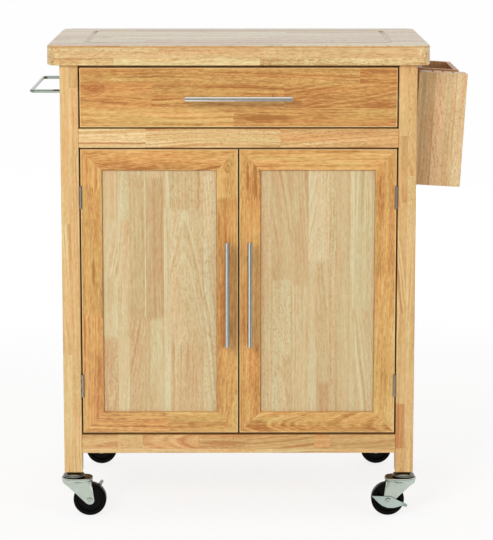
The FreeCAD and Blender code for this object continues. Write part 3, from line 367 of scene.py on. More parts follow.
print("grain numbers step by", CHANCE_STEP)

# %% [markdown]
# Wood is drawn out along its grain. Fibres, pores, streaks and flecks are noises that are stretched that
# way and start afresh in each glued piece. GRAIN says how often each changes in a metre across and in a
# metre along, and how fine its detail is. A piece has one chance number, and SHUFFLE draws further ones
# from it. A picture of wood would do from afar, but it repeats, and it blurs close up, and these nodes do
# neither.

# %% Noises along the grain
GRAIN = {"broad": (13.0, 4.0, 1.5), "ripple": (90.0, 22.0, 1.0), "streak": (42.0, 2.2, 3.5),
         "cloud": (34.0, 13.0, 2.0), "fleck": (400.0, 75.0, 1.0), "fibre": (430.0, 16.0, 2.0),
         "pore": (680.0, 150.0, 1.0), "clear": (17.0, 6.5, 1.0), "blush": (55.0, 4.5, 1.5)}
SHUFFLE = {"depth": 11.9, "lean": 3.7, "plain": 8.3, "blush": 6.7, "coarse": 5.1}
SHIFT_ACROSS, SHIFT_ALONG = 57, 31


def noise(tree, vector, scale, detail):
    return put(tree, "ShaderNodeTexNoise", {"Vector": vector, "Scale": scale, "Detail": detail}).outputs[0]


wood_given = {"Vector": ["Board", "Piece", "Knot", "Lens"], "Color": ["Pale", "Middle", "Dark"],
              "Float": ["Seam", "Figure", "Fine", "Pore", "Hue"]}
surface_made = {"Color": ["Color"], "Float": ["Roughness", "Height"]}
rubberwood, given, made = new_group("rubberwood", wood_given, surface_made)
tree = rubberwood
across, along, deep = apart(tree, given["Board"])
tone, heart, chance = apart(tree, given["Piece"])
draw = {fact: maths(tree, "FRACT", times(tree, chance, factor)) for fact, factor in SHUFFLE.items()}
shift = together(tree, times(tree, chance, SHIFT_ACROSS), times(tree, chance, SHIFT_ALONG), chance)
grain = {}
for kind, (often_across, often_along, detail) in GRAIN.items():
    often = often_across, often_along, often_across
    stretched = vectors(tree, "MULTIPLY_ADD", given["Board"], often, shift)[0]
    grain[kind] = noise(tree, stretched, 1.0, detail)
print("noises along the grain:", *grain)

# %% [markdown]
# Growth rings are distances from the heart, and the tree tapers, so the distance drifts along the piece.
# Where the heart lies behind the piece this gives the pointed arches of flat-sawn wood, and where it lies
# far to the side it gives straight lines, with no further work. Slow and quick noises keep the rings from
# being too even.

# %% Distance from the heart
HEART_LEAST_DEPTH, HEART_MORE_DEPTH = 0.006, 0.02
MOST_TAPER, TAPER_POWER = 0.25, 4.0
RIPPLE_SWING, BROAD_SWING = 0.0026, 0.018
heart_depth = scaled(tree, draw["depth"], HEART_MORE_DEPTH, HEART_LEAST_DEPTH)
behind = maths(tree, "ADD", maths(tree, "ABSOLUTE", deep), heart_depth)
reach = vectors(tree, "LENGTH", together(tree, minus(tree, across, heart), behind, 0.0))["Value"]
lean = swing(tree, draw["lean"], 2.0, 0.0)
lean_even = maths(tree, "POWER", maths(tree, "ABSOLUTE", lean), TAPER_POWER)
reach = scaled(tree, along, times(tree, times(tree, lean_even, lean), MOST_TAPER), reach)
reach = swing(tree, grain["ripple"], RIPPLE_SWING, swing(tree, grain["broad"], BROAD_SWING, reach))
print("the tree tapers by up to", MOST_TAPER)

# %% [markdown]
# Where a branch grew out, the rings run round it, so in a knot the distance is taken from the knot's middle
# instead. A lens is a long dark slip in the wood. Each board has at most one of each: a spot that says
# where its middle lies across and along, and its radius.

# %% Knots and lenses
KNOT_DRAWN_OUT, LENS_DRAWN_OUT = 0.62, 0.107
KNOT_EDGE, LENS_EDGE = (0.85, 1.2), (0.3, 1.05)
KNOT_RINGS, KNOT_RIPPLE = 2.2, 0.009
NO_SPOT = Vector((9.0, 9.0, 0.01))


def off_spot(tree, board, spot, drawn_out):
    """How far a point lies from a spot, in metres and as a share of the spot's radius."""
    across, along = apart(tree, board)[:2]
    spot_across, spot_along, radius = apart(tree, spot)
    ahead = times(tree, minus(tree, along, spot_along), drawn_out)
    spread = together(tree, minus(tree, across, spot_across), ahead, 0.0)
    off = vectors(tree, "LENGTH", spread)["Value"]
    return off, maths(tree, "DIVIDE", off, radius)


off_knot, knot_share = off_spot(tree, given["Board"], given["Knot"], KNOT_DRAWN_OUT)
in_knot = fading(tree, knot_share, *KNOT_EDGE)
knot_reach = swing(tree, grain["ripple"], KNOT_RIPPLE, times(tree, off_knot, KNOT_RINGS))
reach = blend(tree, in_knot, reach, knot_reach)
lens_share = off_spot(tree, given["Board"], given["Lens"], LENS_DRAWN_OUT)[1]
in_lens = fading(tree, lens_share, *LENS_EDGE)
print("a board with no knot has it", NO_SPOT.x, "m away")

# %% [markdown]
# One noise over the ring number makes some rings dark and others pale, as good and bad years do. A few
# rings also end in a sharp dark line, and a white noise over the line's number says how dark it is.

# %% Rings and ring lines
RING_SPACING, LINE_SPACING = 0.0052, 0.012
SHIFT_RINGS, SHIFT_LINES = 91, 37
RING_DETAIL = {"Scale": 1.0, "Detail": 2.5, "Roughness": 0.6}
RING_CONTRAST = 0.28, 0.72
LINE_GROWS, LINE_ENDS = (0.45, 0.93), (0.93, 1.0)
LINE_RARITY = 1.5
ring_number = scaled(tree, chance, SHIFT_RINGS, maths(tree, "DIVIDE", reach, RING_SPACING))
ring_sockets = {"W": ring_number, **RING_DETAIL}
rings = put(tree, "ShaderNodeTexNoise", ring_sockets, noise_dimensions="1D").outputs[0]
ring = between(tree, rings, *RING_CONTRAST)
line_place = scaled(tree, chance, SHIFT_LINES, maths(tree, "DIVIDE", reach, LINE_SPACING))
line_share = maths(tree, "FRACT", line_place)
line_sockets = {"W": maths(tree, "FLOOR", line_place)}
line_chance = put(tree, "ShaderNodeTexWhiteNoise", line_sockets, noise_dimensions="1D").outputs["Value"]
line = times(tree, between(tree, line_share, *LINE_GROWS), fading(tree, line_share, *LINE_ENDS))
line = times(tree, line, maths(tree, "POWER", line_chance, LINE_RARITY))
print("rings every", RING_SPACING, "m")

# %% [markdown]
# The tone is the piece's own, moved by the rings, the fine grain, the knot and the lens. Three colours
# follow it: a pale streak, the middle and a dark streak. Colours are written as they look on a screen,
# because that is how they are judged, and one helper turns them into what a shader needs.

# %% Tone of the wood
CLEAR_EDGE = 0.25, 0.6
LEAST_LIVELY, MORE_LIVELY, KNOT_LIVELY = 0.65, 1.1, 0.6
RING_DARKENS, RING_MIDDLE, LINE_DARKENS = 0.75, 0.43, 0.75
FINE_SHARES = {"streak": 0.9, "cloud": 0.45, "fleck": 0.8, "fibre": 0.55}
KNOT_DARKENS, LENS_DARKENS = 0.26, 0.5


def paint(red, green, blue):
    """A colour as it looks on a screen, from 0 to 255, turned into the linear values that shaders use."""
    shares = [c / 255 for c in (red, green, blue)]
    return [*[s / 12.92 if s < 0.04045 else ((s + 0.055) / 1.055) ** 2.4 for s in shares], 1.0]


def mixed(tree, share, first, second):
    """The same as blend, for colours."""
    return put(tree, "ShaderNodeMix", {0: share, 6: first, 7: second}, data_type="RGBA").outputs[2]


clear = maths(tree, "MAXIMUM", between(tree, grain["clear"], *CLEAR_EDGE), in_knot)
lively = scaled(tree, times(tree, draw["plain"], draw["plain"]), MORE_LIVELY, LEAST_LIVELY)
clear = scaled(tree, in_knot, KNOT_LIVELY, times(tree, clear, lively))
drawn_rings = scaled(tree, line, LINE_DARKENS, scaled(tree, ring, RING_DARKENS, -RING_MIDDLE))
tone = scaled(tree, drawn_rings, times(tree, given["Figure"], clear), tone)
fine = 0.0
for kind, size in FINE_SHARES.items():
    fine = swing(tree, grain[kind], size, fine)
tone = scaled(tree, fine, given["Fine"], tone)
tone = scaled(tree, in_lens, LENS_DARKENS, scaled(tree, in_knot, KNOT_DARKENS, tone))
low_share = put(tree, "ShaderNodeMapRange", {0: tone, 1: 0.0, 2: 0.5}).outputs[0]
high_share = put(tree, "ShaderNodeMapRange", {0: tone, 1: 0.5, 2: 1.0}).outputs[0]
colour = mixed(tree, low_share, given["Pale"], given["Middle"])
colour = mixed(tree, high_share, colour, given["Dark"])
print("wood tone as a linear colour:", [round(c, 3) for c in paint(224, 187, 131)])

# %% [markdown]
# Wood that is equally light may lean to yellow in one streak and to rose in the next, so a slow noise tints
# it. Some pieces have coarse open pores and others hardly any, which is how the real boards look side by
# side. A seam is a faint line of glue.

# %% Tints, pores and seams
BLUSH_IN_STREAK, BLUSH_OF_PIECE = 1.6, 0.4
ROSIER = 0.10, -0.13, -0.18
PORE_EDGE = 0.54, 0.67
COARSE_EDGE, LEAST_COARSE, MORE_COARSE = (0.3, 0.95), 0.45, 1.1
SEAM_SHADE = 0.22
PORE_COLOUR = paint(172, 106, 50)
LEAST_ROUGH, PORE_ROUGH, FIBRE_ROUGH = 0.3, 0.2, 0.16
PORE_HIGH, FIBRE_HIGH = -0.3, 0.5
blush = swing(tree, draw["blush"], BLUSH_OF_PIECE, swing(tree, grain["blush"], BLUSH_IN_STREAK, 0.0))
blush = times(tree, blush, given["Hue"])
tint = vectors(tree, "MULTIPLY_ADD", together(tree, blush, blush, blush), ROSIER, (1, 1, 1))[0]
colour = vectors(tree, "MULTIPLY", colour, tint)[0]
pore = between(tree, grain["pore"], *PORE_EDGE)
coarse = scaled(tree, between(tree, draw["coarse"], *COARSE_EDGE), MORE_COARSE, LEAST_COARSE)
shade = times(tree, pore, times(tree, given["Pore"], coarse))
shade = maths(tree, "MAXIMUM", shade, times(tree, given["Seam"], SEAM_SHADE))
tree.links.new(mixed(tree, shade, colour, PORE_COLOUR), made["Color"])
rough = scaled(tree, grain["fibre"], FIBRE_ROUGH, scaled(tree, pore, PORE_ROUGH, LEAST_ROUGH))
tree.links.new(rough, made["Roughness"])
height = scaled(tree, pore, PORE_HIGH, times(tree, grain["fibre"], FIBRE_HIGH))
tree.links.new(height, made["Height"])
print("rubberwood group:", len(tree.nodes), "nodes")

# %% [markdown]
# Three painted lines frame the fronts. The rounded edges of drawer and doors get a painted highlight, the
# very arris a painted shade for the dark gap beside it, and the joint round a panel a painted shadow of its
# recess, except along its foot, which the light from above reaches. Each is a line of colour along a
# rectangle, a little broken, so one group draws them all.

# %% The edge line group
BREAKS_PER_METRE, BREAK_DETAIL = 60.0, 2.0
LEAST_LINE, MORE_LINE = 0.55, 0.8
LINE_FADES = 0.35, 1.0
edge_given = {"Vector": ["Place", "Low", "High"], "Color": ["Color", "Line"], "Float": ["Width", "Amount"]}
edge_line, given, made = new_group("edge_line", edge_given, {"Color": ["Color"]})
tree = edge_line
from_low = vectors(tree, "SUBTRACT", given["Place"], given["Low"])[0]
to_high = vectors(tree, "SUBTRACT", given["High"], given["Place"])[0]
nearest = apart(tree, vectors(tree, "MINIMUM", from_low, to_high)[0])
to_edge = maths(tree, "ABSOLUTE", maths(tree, "MINIMUM", nearest[0], nearest[2]))
on_line_share = fading(tree, maths(tree, "DIVIDE", to_edge, given["Width"]), *LINE_FADES)
broken = noise(tree, given["Place"], BREAKS_PER_METRE, BREAK_DETAIL)
on_line_share = times(tree, on_line_share, scaled(tree, broken, MORE_LINE, LEAST_LINE))
on_line_share = times(tree, on_line_share, given["Amount"])
tree.links.new(mixed(tree, on_line_share, given["Color"], given["Line"]), made["Color"])
print("edge line group:", len(tree.nodes), "nodes")

# %% [markdown]
# A board's material turns the frame's axes into the board's own: across the staves, along the grain, and
# into the board. It also starts the count of staves at the board's own corner, so the staves lie as they do
# on a real board.

# %% A board's own axes
AXES = {"x": (1, 0, 0), "y": (0, 1, 0), "z": (0, 0, 1)}


def board_vector(tree, grain, start, lean=0.0):
    turn = Matrix([AXES[letter] for letter in grain])
    if turn.determinant() < 0:
        turn[2].negate()
    turn = turn @ Matrix.Rotation(math.radians(-lean), 3, "Y")
    sockets = {"Vector": place_on(tree), "Rotation": turn.to_euler(), "Location": -(turn @ start)}
    return put(tree, "ShaderNodeMapping", sockets).outputs[0]


def wood(tree, board, piece, seam, tones, finish, knot=NO_SPOT, lens=NO_SPOT):
    sockets = {"Board": board, "Piece": piece, "Seam": seam, "Knot": knot, "Lens": lens}
    sockets.update(zip(("Pale", "Middle", "Dark"), tones))
    sockets.update(zip(("Figure", "Fine", "Pore", "Hue"), finish))
    return dict(use_group(tree, rubberwood, sockets).items())


def chance_wood(tree, board, seed, cut, contrast, tones, finish):
    """Wood drawn by chance, cut to the width of a stave and the lengths of a piece and of a finger."""
    sockets = {"Board": board, "Seed": seed, "Contrast": contrast}
    sockets.update(zip(("Stave Width", "Piece Length", "Finger Length"), cut))
    pieces = use_group(tree, chance_staves, sockets)
    return wood(tree, board, pieces["Piece"], pieces["Seam"], tones, finish)


print("board axes", *AXES)

# %% [markdown]
# Over the wood lies a clear satin lacquer, which lets a little of the pores be felt. It is a coat on the
# wood's own shader, with a fine relief under it. Metals and plastics have a relief too, so they share the
# helper.

# %% Lacquer
PORE_BUMP, PORE_DEPTH = 0.08, 0.001
LACQUER_ROUGH = 0.2


def surfaced(tree, height, bump_strength, bump_depth, sockets):
    """A surface with a fine relief, as the material's output."""
    bump_sockets = {"Height": height, "Strength": bump_strength, "Distance": bump_depth}
    bump = put(tree, "ShaderNodeBump", bump_sockets)
    shader = put(tree, "ShaderNodeBsdfPrincipled", {"Normal": bump.outputs[0], **sockets})
    put(tree, "ShaderNodeOutputMaterial", {"Surface": shader.outputs[0]})


def lacquer(tree, grown, gloss):
    sockets = {"Base Color": grown["Color"], "Roughness": grown["Roughness"], "Coat Weight": gloss,
               "Coat Roughness": LACQUER_ROUGH}
    surfaced(tree, grown["Height"], PORE_BUMP, PORE_DEPTH, sockets)


def dress(name, material):
    mesh = nodes[name].data
    mesh.materials.clear()
    mesh.materials.append(material)


print("lacquer roughness", LACQUER_ROUGH)

# %% [markdown]
# Six tones of the same timber: the pale legs and rails, the more orange fronts, the greyish panels, the
# knife block, the box beside it and the worktop. Each row gives the colour of a pale, a middle and a dark
# streak. A finish says how strong the rings, the fine grain, the pores and the tints are, and how glossy
# the lacquer is.

# %% Tones and finishes
LEG_TONES = paint(239, 211, 156), paint(220, 179, 116), paint(192, 132, 73)
FRONT_TONES = paint(233, 191, 119), paint(212, 160, 88), paint(174, 110, 48)
PANEL_TONES = paint(222, 207, 164), paint(210, 184, 135), paint(196, 150, 101)
RACK_TONES = paint(238, 206, 158), paint(217, 174, 121), paint(180, 125, 78)
# The box's tones are the rack's wood made darker and redder: a painted shade for its shadowed inside.
BOX_SHADED_TONES = paint(226, 176, 124), paint(200, 142, 90), paint(160, 101, 60)
TOP_TONES = paint(240, 215, 160), paint(222, 189, 128), paint(193, 142, 83)
FINISH = {
    "leg": (0.38, 0.7, 0.3, 1.1, 0.15),
    "rail": (0.6, 0.75, 0.3, 1.2, 0.15),
    "panel": (0.55, 0.85, 0.26, 0.8, 0.05),
    "block": (0.5, 0.8, 0.3, 1.2, 0.15),
    "front": (0.6, 1.2, 0.38, 1.2, 0.15),
    "stile": (0.62, 1.15, 0.38, 1.2, 0.15),
    "rails": (0.7, 1.35, 0.38, 1.2, 0.15),
    "hidden": (0.4, 0.8, 0.3, 1.0, 0.15),
    "worktop": (0.46, 1.7, 0.44, 1.0, 0.6),
    "edging": (0.46, 1.7, 0.44, 1.0, 0.25),
}
print(len(FINISH), "finishes")

# %% [markdown]
# The laid boards, as the picture shows them. A row gives the order of the board's axes, its tones, the
# length of its fingers and its staves. Some boards also have a knot or a lens, as a place across, a place
# along and a radius.

# %% Laid boards
LAID = {
    "front_left_leg": ("xzy", LEG_TONES, 0, [
        (17.2, [(230, 0.42, -50), (480, 0.48, -40), (777, 0.38, 70)]),
        (16.8, [(112, 0.50, 60), (605, 0.52, -60), (735, 0.38, 90), (777, 0.60, 60)])]),
    "front_right_leg": ("xzy", LEG_TONES, 0, [
        (17.0, [(47, 0.56, -60), (134, 0.84, -40), (308, 0.54, 70), (520, 0.50, 60), (645, 0.66, -50),
                (777, 0.46, 90)]),
        (17.0, [(85, 0.50, 80), (500, 0.42, -40), (570, 0.54, 24), (777, 0.44, 90)])]),
    "middle_front_rail": ("zxy", LEG_TONES, 0, [
        (35.5, [(125, 0.16, -30), (376, 0.46, 60), (596, 0.60, -25)])]),
    "bottom_front_rail": ("zxy", LEG_TONES, 0, [
        (8.5, [(596, 0.48, -60)]),
        (27.0, [(68, 0.60, 20), (115, 0.52, -30), (221, 0.60, 26), (310, 0.72, 22), (442, 0.70, 60),
                (471, 0.60, 24), (596, 0.72, -20)])]),
    "drawer_front": ("zxy", FRONT_TONES, 2, [
        (36.0, [(286, 0.46, 60), (591, 0.64, 16)]),
        (46.0, [(134, 0.60, 110), (380, 0.58, 130, 0.114), (591, 0.69, 120)]),
        (29.5, [(230, 0.58, 150), (521, 0.54, 60), (591, 0.69, 70)])]),
    "left_door_hinge_stile": ("xzy", FRONT_TONES, 12, [
        (40.0, [(226, 0.56, 80), (468, 0.56, 14), (542, 0.44, -30)])]),
    "left_door_closing_stile": ("xzy", FRONT_TONES, 8, [
        (40.0, [(165, 0.52, 40, 0.53), (450, 0.64, -40), (542, 0.42, 16)])]),
    "right_door_closing_stile": ("xzy", FRONT_TONES, 12, [
        (40.0, [(170, 0.56, 60), (450, 0.46, -50, 0.405), (542, 0.62, 16)])]),
    "right_door_hinge_stile": ("xzy", FRONT_TONES, 8, [(40.0, [(300, 0.44, 70), (542, 0.49, 8)])]),
    "left_door_rails": ("zxy", FRONT_TONES, 10, [
        (271.0, [(160, 0.54, 70), (295, 0.48, 30)]), (271.0, [(295, 0.58, 560, 0.262)])]),
    "right_door_rails": ("zxy", FRONT_TONES, 10, [
        (271.0, [(295, 0.50, 18, 0.819)]), (251.5, [(295, 0.36, 440, 0.4325)]), (20.0, [(295, 0.52, 600)])]),
    "left_door_panel": ("xzy", PANEL_TONES, 10, [
        (35.0, [(150, 0.52, 20), (267, 0.34, 20), (374, 0.30, -40), (477, 0.42, 140)]),
        (22.0, [(150, 0.30, 20), (255, 0.44, 20), (374, 0.34, -40), (477, 0.38, 140)]),
        (28.8, [(188, 0.54, 120), (456, 0.72, -60, 0.4825), (477, 0.48, 120)]),
        (2.4, [(188, 0.54, 120), (477, 0.14, -60)]),
        (33.8, [(186, 0.50, 60), (456, 0.74, 200, 0.6025), (477, 0.40, 40)]),
        (12.0, [(397, 0.26, 20), (477, 0.34, 260)]),
        (62.0, [(138, 0.50, 100), (395, 0.32, 159, 0.53), (477, 0.54, 60, 0.19)]),
        (32.5, [(477, 0.28, 330)])]),
    "right_door_panel": ("xzy", PANEL_TONES, 10, [
        (28.0, [(477, 0.44, 120, 0.723)]),
        (37.5, [(115, 0.44, 40, 0.53), (260, 0.34, 200), (477, 0.62, -40)]),
        (31.5, [(250, 0.40, 20), (477, 0.56, 180)]),
        (17.0, [(296, 0.38, 20), (477, 0.16, 60)]),
        (22.0, [(62, 0.72, 240), (296, 0.54, 20), (477, 0.20, 60)]),
        (13.0, [(296, 0.46, 20), (477, 0.40, 60)]),
        (26.0, [(477, 0.50, 60)]),
        (9.0, [(205, 0.40, 320), (477, 0.04, 90)]),
        (44.5, [(205, 0.40, 320), (477, 0.42, 90)])]),
    "knife_block": ("xzy", RACK_TONES, 0, [
        (8.0, [(300, 0.40, 200)]), (24.0, [(300, 0.50, -120)]), (18.0, [(300, 0.18, 240)]),
        (22.0, [(300, 0.32, 20)]), (60.0, [(300, 0.18, 300)])]),
}
KNOTS = {"drawer_front": (72.5, 25, 13.5), "left_door_closing_stile": (21, 511, 8.5)}
LENSES = {"drawer_front": (17.0, 347, 6.8), "left_door_hinge_stile": (23, 306, 4.0),
          "right_door_closing_stile": (16, 490, 3.4), "right_door_hinge_stile": (9, 470, 2.6),
          "bottom_front_rail": (20, 270, 6.0)}
print(sum(len(pieces) for row in LAID.values() for width, pieces in row[3]), "pieces laid by hand")

# %% [markdown]
# Each laid board gets a material of its own, because the pieces differ. The lines on the fronts follow the
# door or the drawer as a whole, and the line round a panel lies where the stiles and the upper rail end.

# %% Dress the laid boards
MOST_PIECES = 20
RACK_LEAN = 3.25
# EDGE_HIGHLIGHT is a painted highlight along the rounded edges of the fronts.
EDGE_HIGHLIGHT, EDGE_HIGHLIGHT_WIDTH, EDGE_HIGHLIGHT_SHARE = paint(247, 211, 148), 0.0027, 0.8
# PANEL_SHADOW is a painted shadow along the recess round each panel.
PANEL_SHADOW, PANEL_SHADOW_WIDTH, PANEL_SHADOW_SHARE = paint(124, 86, 48), 0.0016, 0.6
# GAP_SHADE is painted shade along the very arris, for the dark gap beside each front.
GAP_SHADE, GAP_SHADE_WIDTH, GAP_SHADE_SHARE = paint(66, 42, 22), 0.001, 0.85
GAP_SHADE_FADES = 0.0015, 0.003


def lined(tree, colour, low, high, line, width, amount):
    """A colour with a line along a rectangle."""
    sockets = {"Color": colour, "Place": place_on(tree), "Low": low, "High": high, "Line": line,
               "Width": width, "Amount": amount}
    return use_group(tree, edge_line, sockets)["Color"]


def front_edges(name):
    """The rectangle round the door or drawer front that a board belongs to."""
    boards = [name]
    if "_door_" in name:
        side = name.split("_door_")[0]
        boards = [side + "_door_hinge_stile", side + "_door_closing_stile", side + "_door_rails"]
    boxes = [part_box(board) for board in boards]
    low = Vector([min(box[0][axis] for box in boxes) for axis in range(3)])
    return low, Vector([max(box[1][axis] for box in boxes) for axis in range(3)])


def own_axes(tree, name, grain, tones):
    """A board's own axes. The grain of the rack leans with it."""
    return board_vector(tree, grain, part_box(name)[0], RACK_LEAN if tones in (RACK_TONES, BOX_SHADED_TONES) else 0.0)


stile_low, stile_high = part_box("left_door_hinge_stile")
stile_wide = stile_high.x - stile_low.x
for number, (name, (grain, tones, finger, staves)) in enumerate(LAID.items()):
    material, tree = fresh_material(name + "_wood")
    board = own_axes(tree, name, grain, tones)
    piece, seam = laid_staves(tree, board, staves, finger, MOST_PIECES * number)
    knot = Vector(KNOTS[name]) * MM if name in KNOTS else NO_SPOT
    lens = Vector(LENSES[name]) * MM if name in LENSES else NO_SPOT
    finish = FINISH[name.split("_")[-1]]
    grown = wood(tree, board, piece, seam, tones, finish, knot, lens)
    colour = grown["Color"]
    if tones is FRONT_TONES:
        low, high = front_edges(name)
        # A painted highlight along the rounded edges of the door or drawer.
        colour = lined(tree, colour, low, high, EDGE_HIGHLIGHT, EDGE_HIGHLIGHT_WIDTH, EDGE_HIGHLIGHT_SHARE)
        # Painted shade along the arris, on the front and fading out a few millimetres into the gap.
        deep = minus(tree, apart(tree, place_on(tree))[1], low.y)
        amount = times(tree, fading(tree, deep, *GAP_SHADE_FADES), GAP_SHADE_SHARE)
        colour = lined(tree, colour, low, high, GAP_SHADE, GAP_SHADE_WIDTH, amount)
    if tones is PANEL_TONES:
        low, high = front_edges(name)
        low += Vector((stile_wide, 0, 0))
        high -= Vector((stile_wide, 0, stile_wide))
        # A painted shadow round the panel's recess, left off at its foot.
        colour = lined(tree, colour, low, high, PANEL_SHADOW, PANEL_SHADOW_WIDTH, PANEL_SHADOW_SHARE)
    grown["Color"] = colour
    lacquer(tree, grown, finish[-1])
    dress(name, material)
print(len(LAID), "boards laid by hand")

# %% [markdown]
# The other boards show little from the front: they are seen from the sides, from behind, from below or with
# a door open. Laying each of them by hand would take long and show little, so their pieces come by chance.
# Each row gives the order of the axes, the tones, and the width of a stave, the length of a piece and the
# length of its fingers.

# %% Boards by chance
CHANCE_CONTRAST = 0.45
FIRST_SEED = 1.5
CHANCE = {
    "rear_left_leg": ("xzy", LEG_TONES, (0.017, 0.26, 0.0)),
    "rear_right_leg": ("xzy", LEG_TONES, (0.017, 0.24, 0.0)),
    "rear_rails_and_stretcher": ("zxy", LEG_TONES, (0.0355, 0.24, 0.0)),
    "left_side_panel": ("yzx", LEG_TONES, (0.045, 0.28, 0.008)),
    "right_side_panel": ("yzx", LEG_TONES, (0.045, 0.28, 0.008)),
    "back_panel": ("xzy", LEG_TONES, (0.060, 0.30, 0.008)),
    "bottom_panel": ("yxz", LEG_TONES, (0.050, 0.30, 0.008)),
    "inner_battens": ("zyx", LEG_TONES, (0.030, 0.30, 0.0)),
    "shelf": ("yxz", LEG_TONES, (0.050, 0.30, 0.008)),
    "frame_dowels": ("zxy", LEG_TONES, (0.050, 0.40, 0.0)),
    "drawer_sides": ("zyx", LEG_TONES, (0.043, 0.25, 0.0)),
    "drawer_back": ("zxy", LEG_TONES, (0.043, 0.25, 0.0)),
    "drawer_bottom": ("yxz", LEG_TONES, (0.060, 0.30, 0.0)),
    "rack_wall_cleat": ("zyx", RACK_TONES, (0.040, 0.30, 0.0)),
    "rack_cleat": ("zyx", RACK_TONES, (0.040, 0.30, 0.0)),
    "spice_box": ("yzx", BOX_SHADED_TONES, (0.040, 0.40, 0.0)),
}
finish = FINISH["hidden"]
for number, (name, (grain, tones, cut)) in enumerate(CHANCE.items()):
    material, tree = fresh_material(name + "_wood")
    board = own_axes(tree, name, grain, tones)
    grown = chance_wood(tree, board, number + FIRST_SEED, cut, CHANCE_CONTRAST, tones, finish)
    lacquer(tree, grown, finish[-1])
    dress(name, material)
print(len(CHANCE), "boards by chance")

# %% [markdown]
# The worktop is glued from staves that run from end to end. Its level face is painted a little greyer, a
# painted reflection of the white room. The juice groove and its lips are painted darker, a painted shade that
# is strongest along the long runs. The wood is therefore shaded where it lies below the top, away from the
# rounded rim, and a little beside the groove. Just below the rounded rim the wood is painted darker too, a
# painted shade of the rounded edge.

# %% Worktop
TOP_SEED, TOP_CUT, TOP_CONTRAST = 4.5, (0.046, 0.30, 0.006), 0.6
# TOP_SHEEN_TINT greys the level face: a painted reflection of the white room.
TOP_SHEEN_TINT = 0.83, 0.86, 0.88
SUNK_GROWS = 0.0001, 0.0005
GROOVE_INSET = 0.070
# The groove, its lips and most of all its long runs are painted darker: painted shade.
GROOVE_SHADE_COLOUR, GROOVE_SHADE, LONG_RUN_MORE_SHADE = paint(138, 98, 56), 0.42, 0.45
LIP_FADES, LIP_SHADE_SHARE = (0.0045, 0.008), 0.4
RIM_CLEAR = 0.03
# RIM_SHADE_COLOUR is painted shade just below the rounded rim.
RIM_SHADE_COLOUR, RIM_SHADE = paint(188, 128, 62), 0.6
RIM_GROWS, RIM_FADES = (0.0006, 0.002), (0.003, 0.005)
top_low, top_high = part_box("worktop_board")
material, tree = fresh_material("worktop_board_wood")
finish = FINISH["worktop"]
board = board_vector(tree, "yxz", top_low)
grown = chance_wood(tree, board, TOP_SEED, TOP_CUT, TOP_CONTRAST, TOP_TONES, finish)
place = place_on(tree)
below = minus(tree, top_high.z, apart(tree, place)[2])
low_side = vectors(tree, "SUBTRACT", place, top_low)[0]
high_side = vectors(tree, "SUBTRACT", top_high, place)[0]
near_x, near_y = apart(tree, vectors(tree, "MINIMUM", low_side, high_side)[0])[:2]
to_edge = maths(tree, "MINIMUM", near_x, near_y)
inside = maths(tree, "GREATER_THAN", to_edge, RIM_CLEAR)
sunk = between(tree, below, *SUNK_GROWS)
# The level face is painted greyer, a painted reflection.
sheen_greyed = vectors(tree, "MULTIPLY", grown["Color"], TOP_SHEEN_TINT)[0]
colour = mixed(tree, sunk, sheen_greyed, grown["Color"])
# Painted shade in the groove and along its lips, stronger along the long runs.
off_groove = maths(tree, "ABSOLUTE", minus(tree, to_edge, GROOVE_INSET))
lip_shade = times(tree, fading(tree, off_groove, *LIP_FADES), LIP_SHADE_SHARE)
groove_shade = maths(tree, "MAXIMUM", times(tree, sunk, inside), lip_shade)
long_run = maths(tree, "GREATER_THAN", near_x, near_y)
groove_shade = times(tree, groove_shade, scaled(tree, long_run, LONG_RUN_MORE_SHADE, GROOVE_SHADE))
colour = mixed(tree, groove_shade, colour, GROOVE_SHADE_COLOUR)
# Painted shade on the front faces just below the rounded rim.
rim_shade = times(tree, between(tree, below, *RIM_GROWS), fading(tree, below, *RIM_FADES))
rim_shade = times(tree, rim_shade, minus(tree, 1.0, inside))
grown["Color"] = mixed(tree, times(tree, rim_shade, RIM_SHADE), colour, RIM_SHADE_COLOUR)
lacquer(tree, grown, finish[-1])
dress("worktop_board", material)
print("worktop groove shaded")

# %% [markdown]
# The worktop's edging is four strips with mitred corners, and the grain turns with each strip. One material
# holds both: it cuts pieces along x for the long strips and along y for the end strips, and picks one by
# which edge is nearer. A brown line of glue shows where the strips meet the board above.

# %% Edging
STRIP_CUT, STRIP_CONTRAST = (0.030, 0.27, 0.0), 0.4
STRIP_GRAINS = {61.5: "zxy", 62.5: "zyx"}
GLUE, GLUE_SHADE, GLUE_FADES = paint(150, 100, 52), 0.22, (0.0005, 0.0013)
strip_low, strip_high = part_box("worktop_edging")
material, tree = fresh_material("worktop_edging_wood")
finish = FINISH["edging"]
woods = []
for seed, grain in STRIP_GRAINS.items():
    board = board_vector(tree, grain, strip_low)
    woods.append(chance_wood(tree, board, seed, STRIP_CUT, STRIP_CONTRAST, TOP_TONES, finish))
x, y, z = apart(tree, place_on(tree))
middle, half = (strip_low + strip_high) / 2, (strip_high - strip_low) / 2
to_end = minus(tree, half.x, maths(tree, "ABSOLUTE", minus(tree, x, middle.x)))
to_side = minus(tree, half.y, maths(tree, "ABSOLUTE", minus(tree, y, middle.y)))
on_end = maths(tree, "LESS_THAN", to_end, to_side)
both = {title: blend(tree, on_end, *[grown[title] for grown in woods]) for title in ("Roughness", "Height")}
colour = mixed(tree, on_end, woods[0]["Color"], woods[1]["Color"])
glued = fading(tree, minus(tree, strip_high.z, z), *GLUE_FADES)
both["Color"] = mixed(tree, times(tree, glued, GLUE_SHADE), colour, GLUE)
lacquer(tree, both, finish[-1])
dress("worktop_edging", material)
print("edging strips mitred")

# %% [markdown]
# Metals: satin steel bars, plated hinges, zinc forks and one chrome rail. A group draws fine brushing, as
# noise that is drawn out along one direction, and each metal takes its own colour and gloss from it.

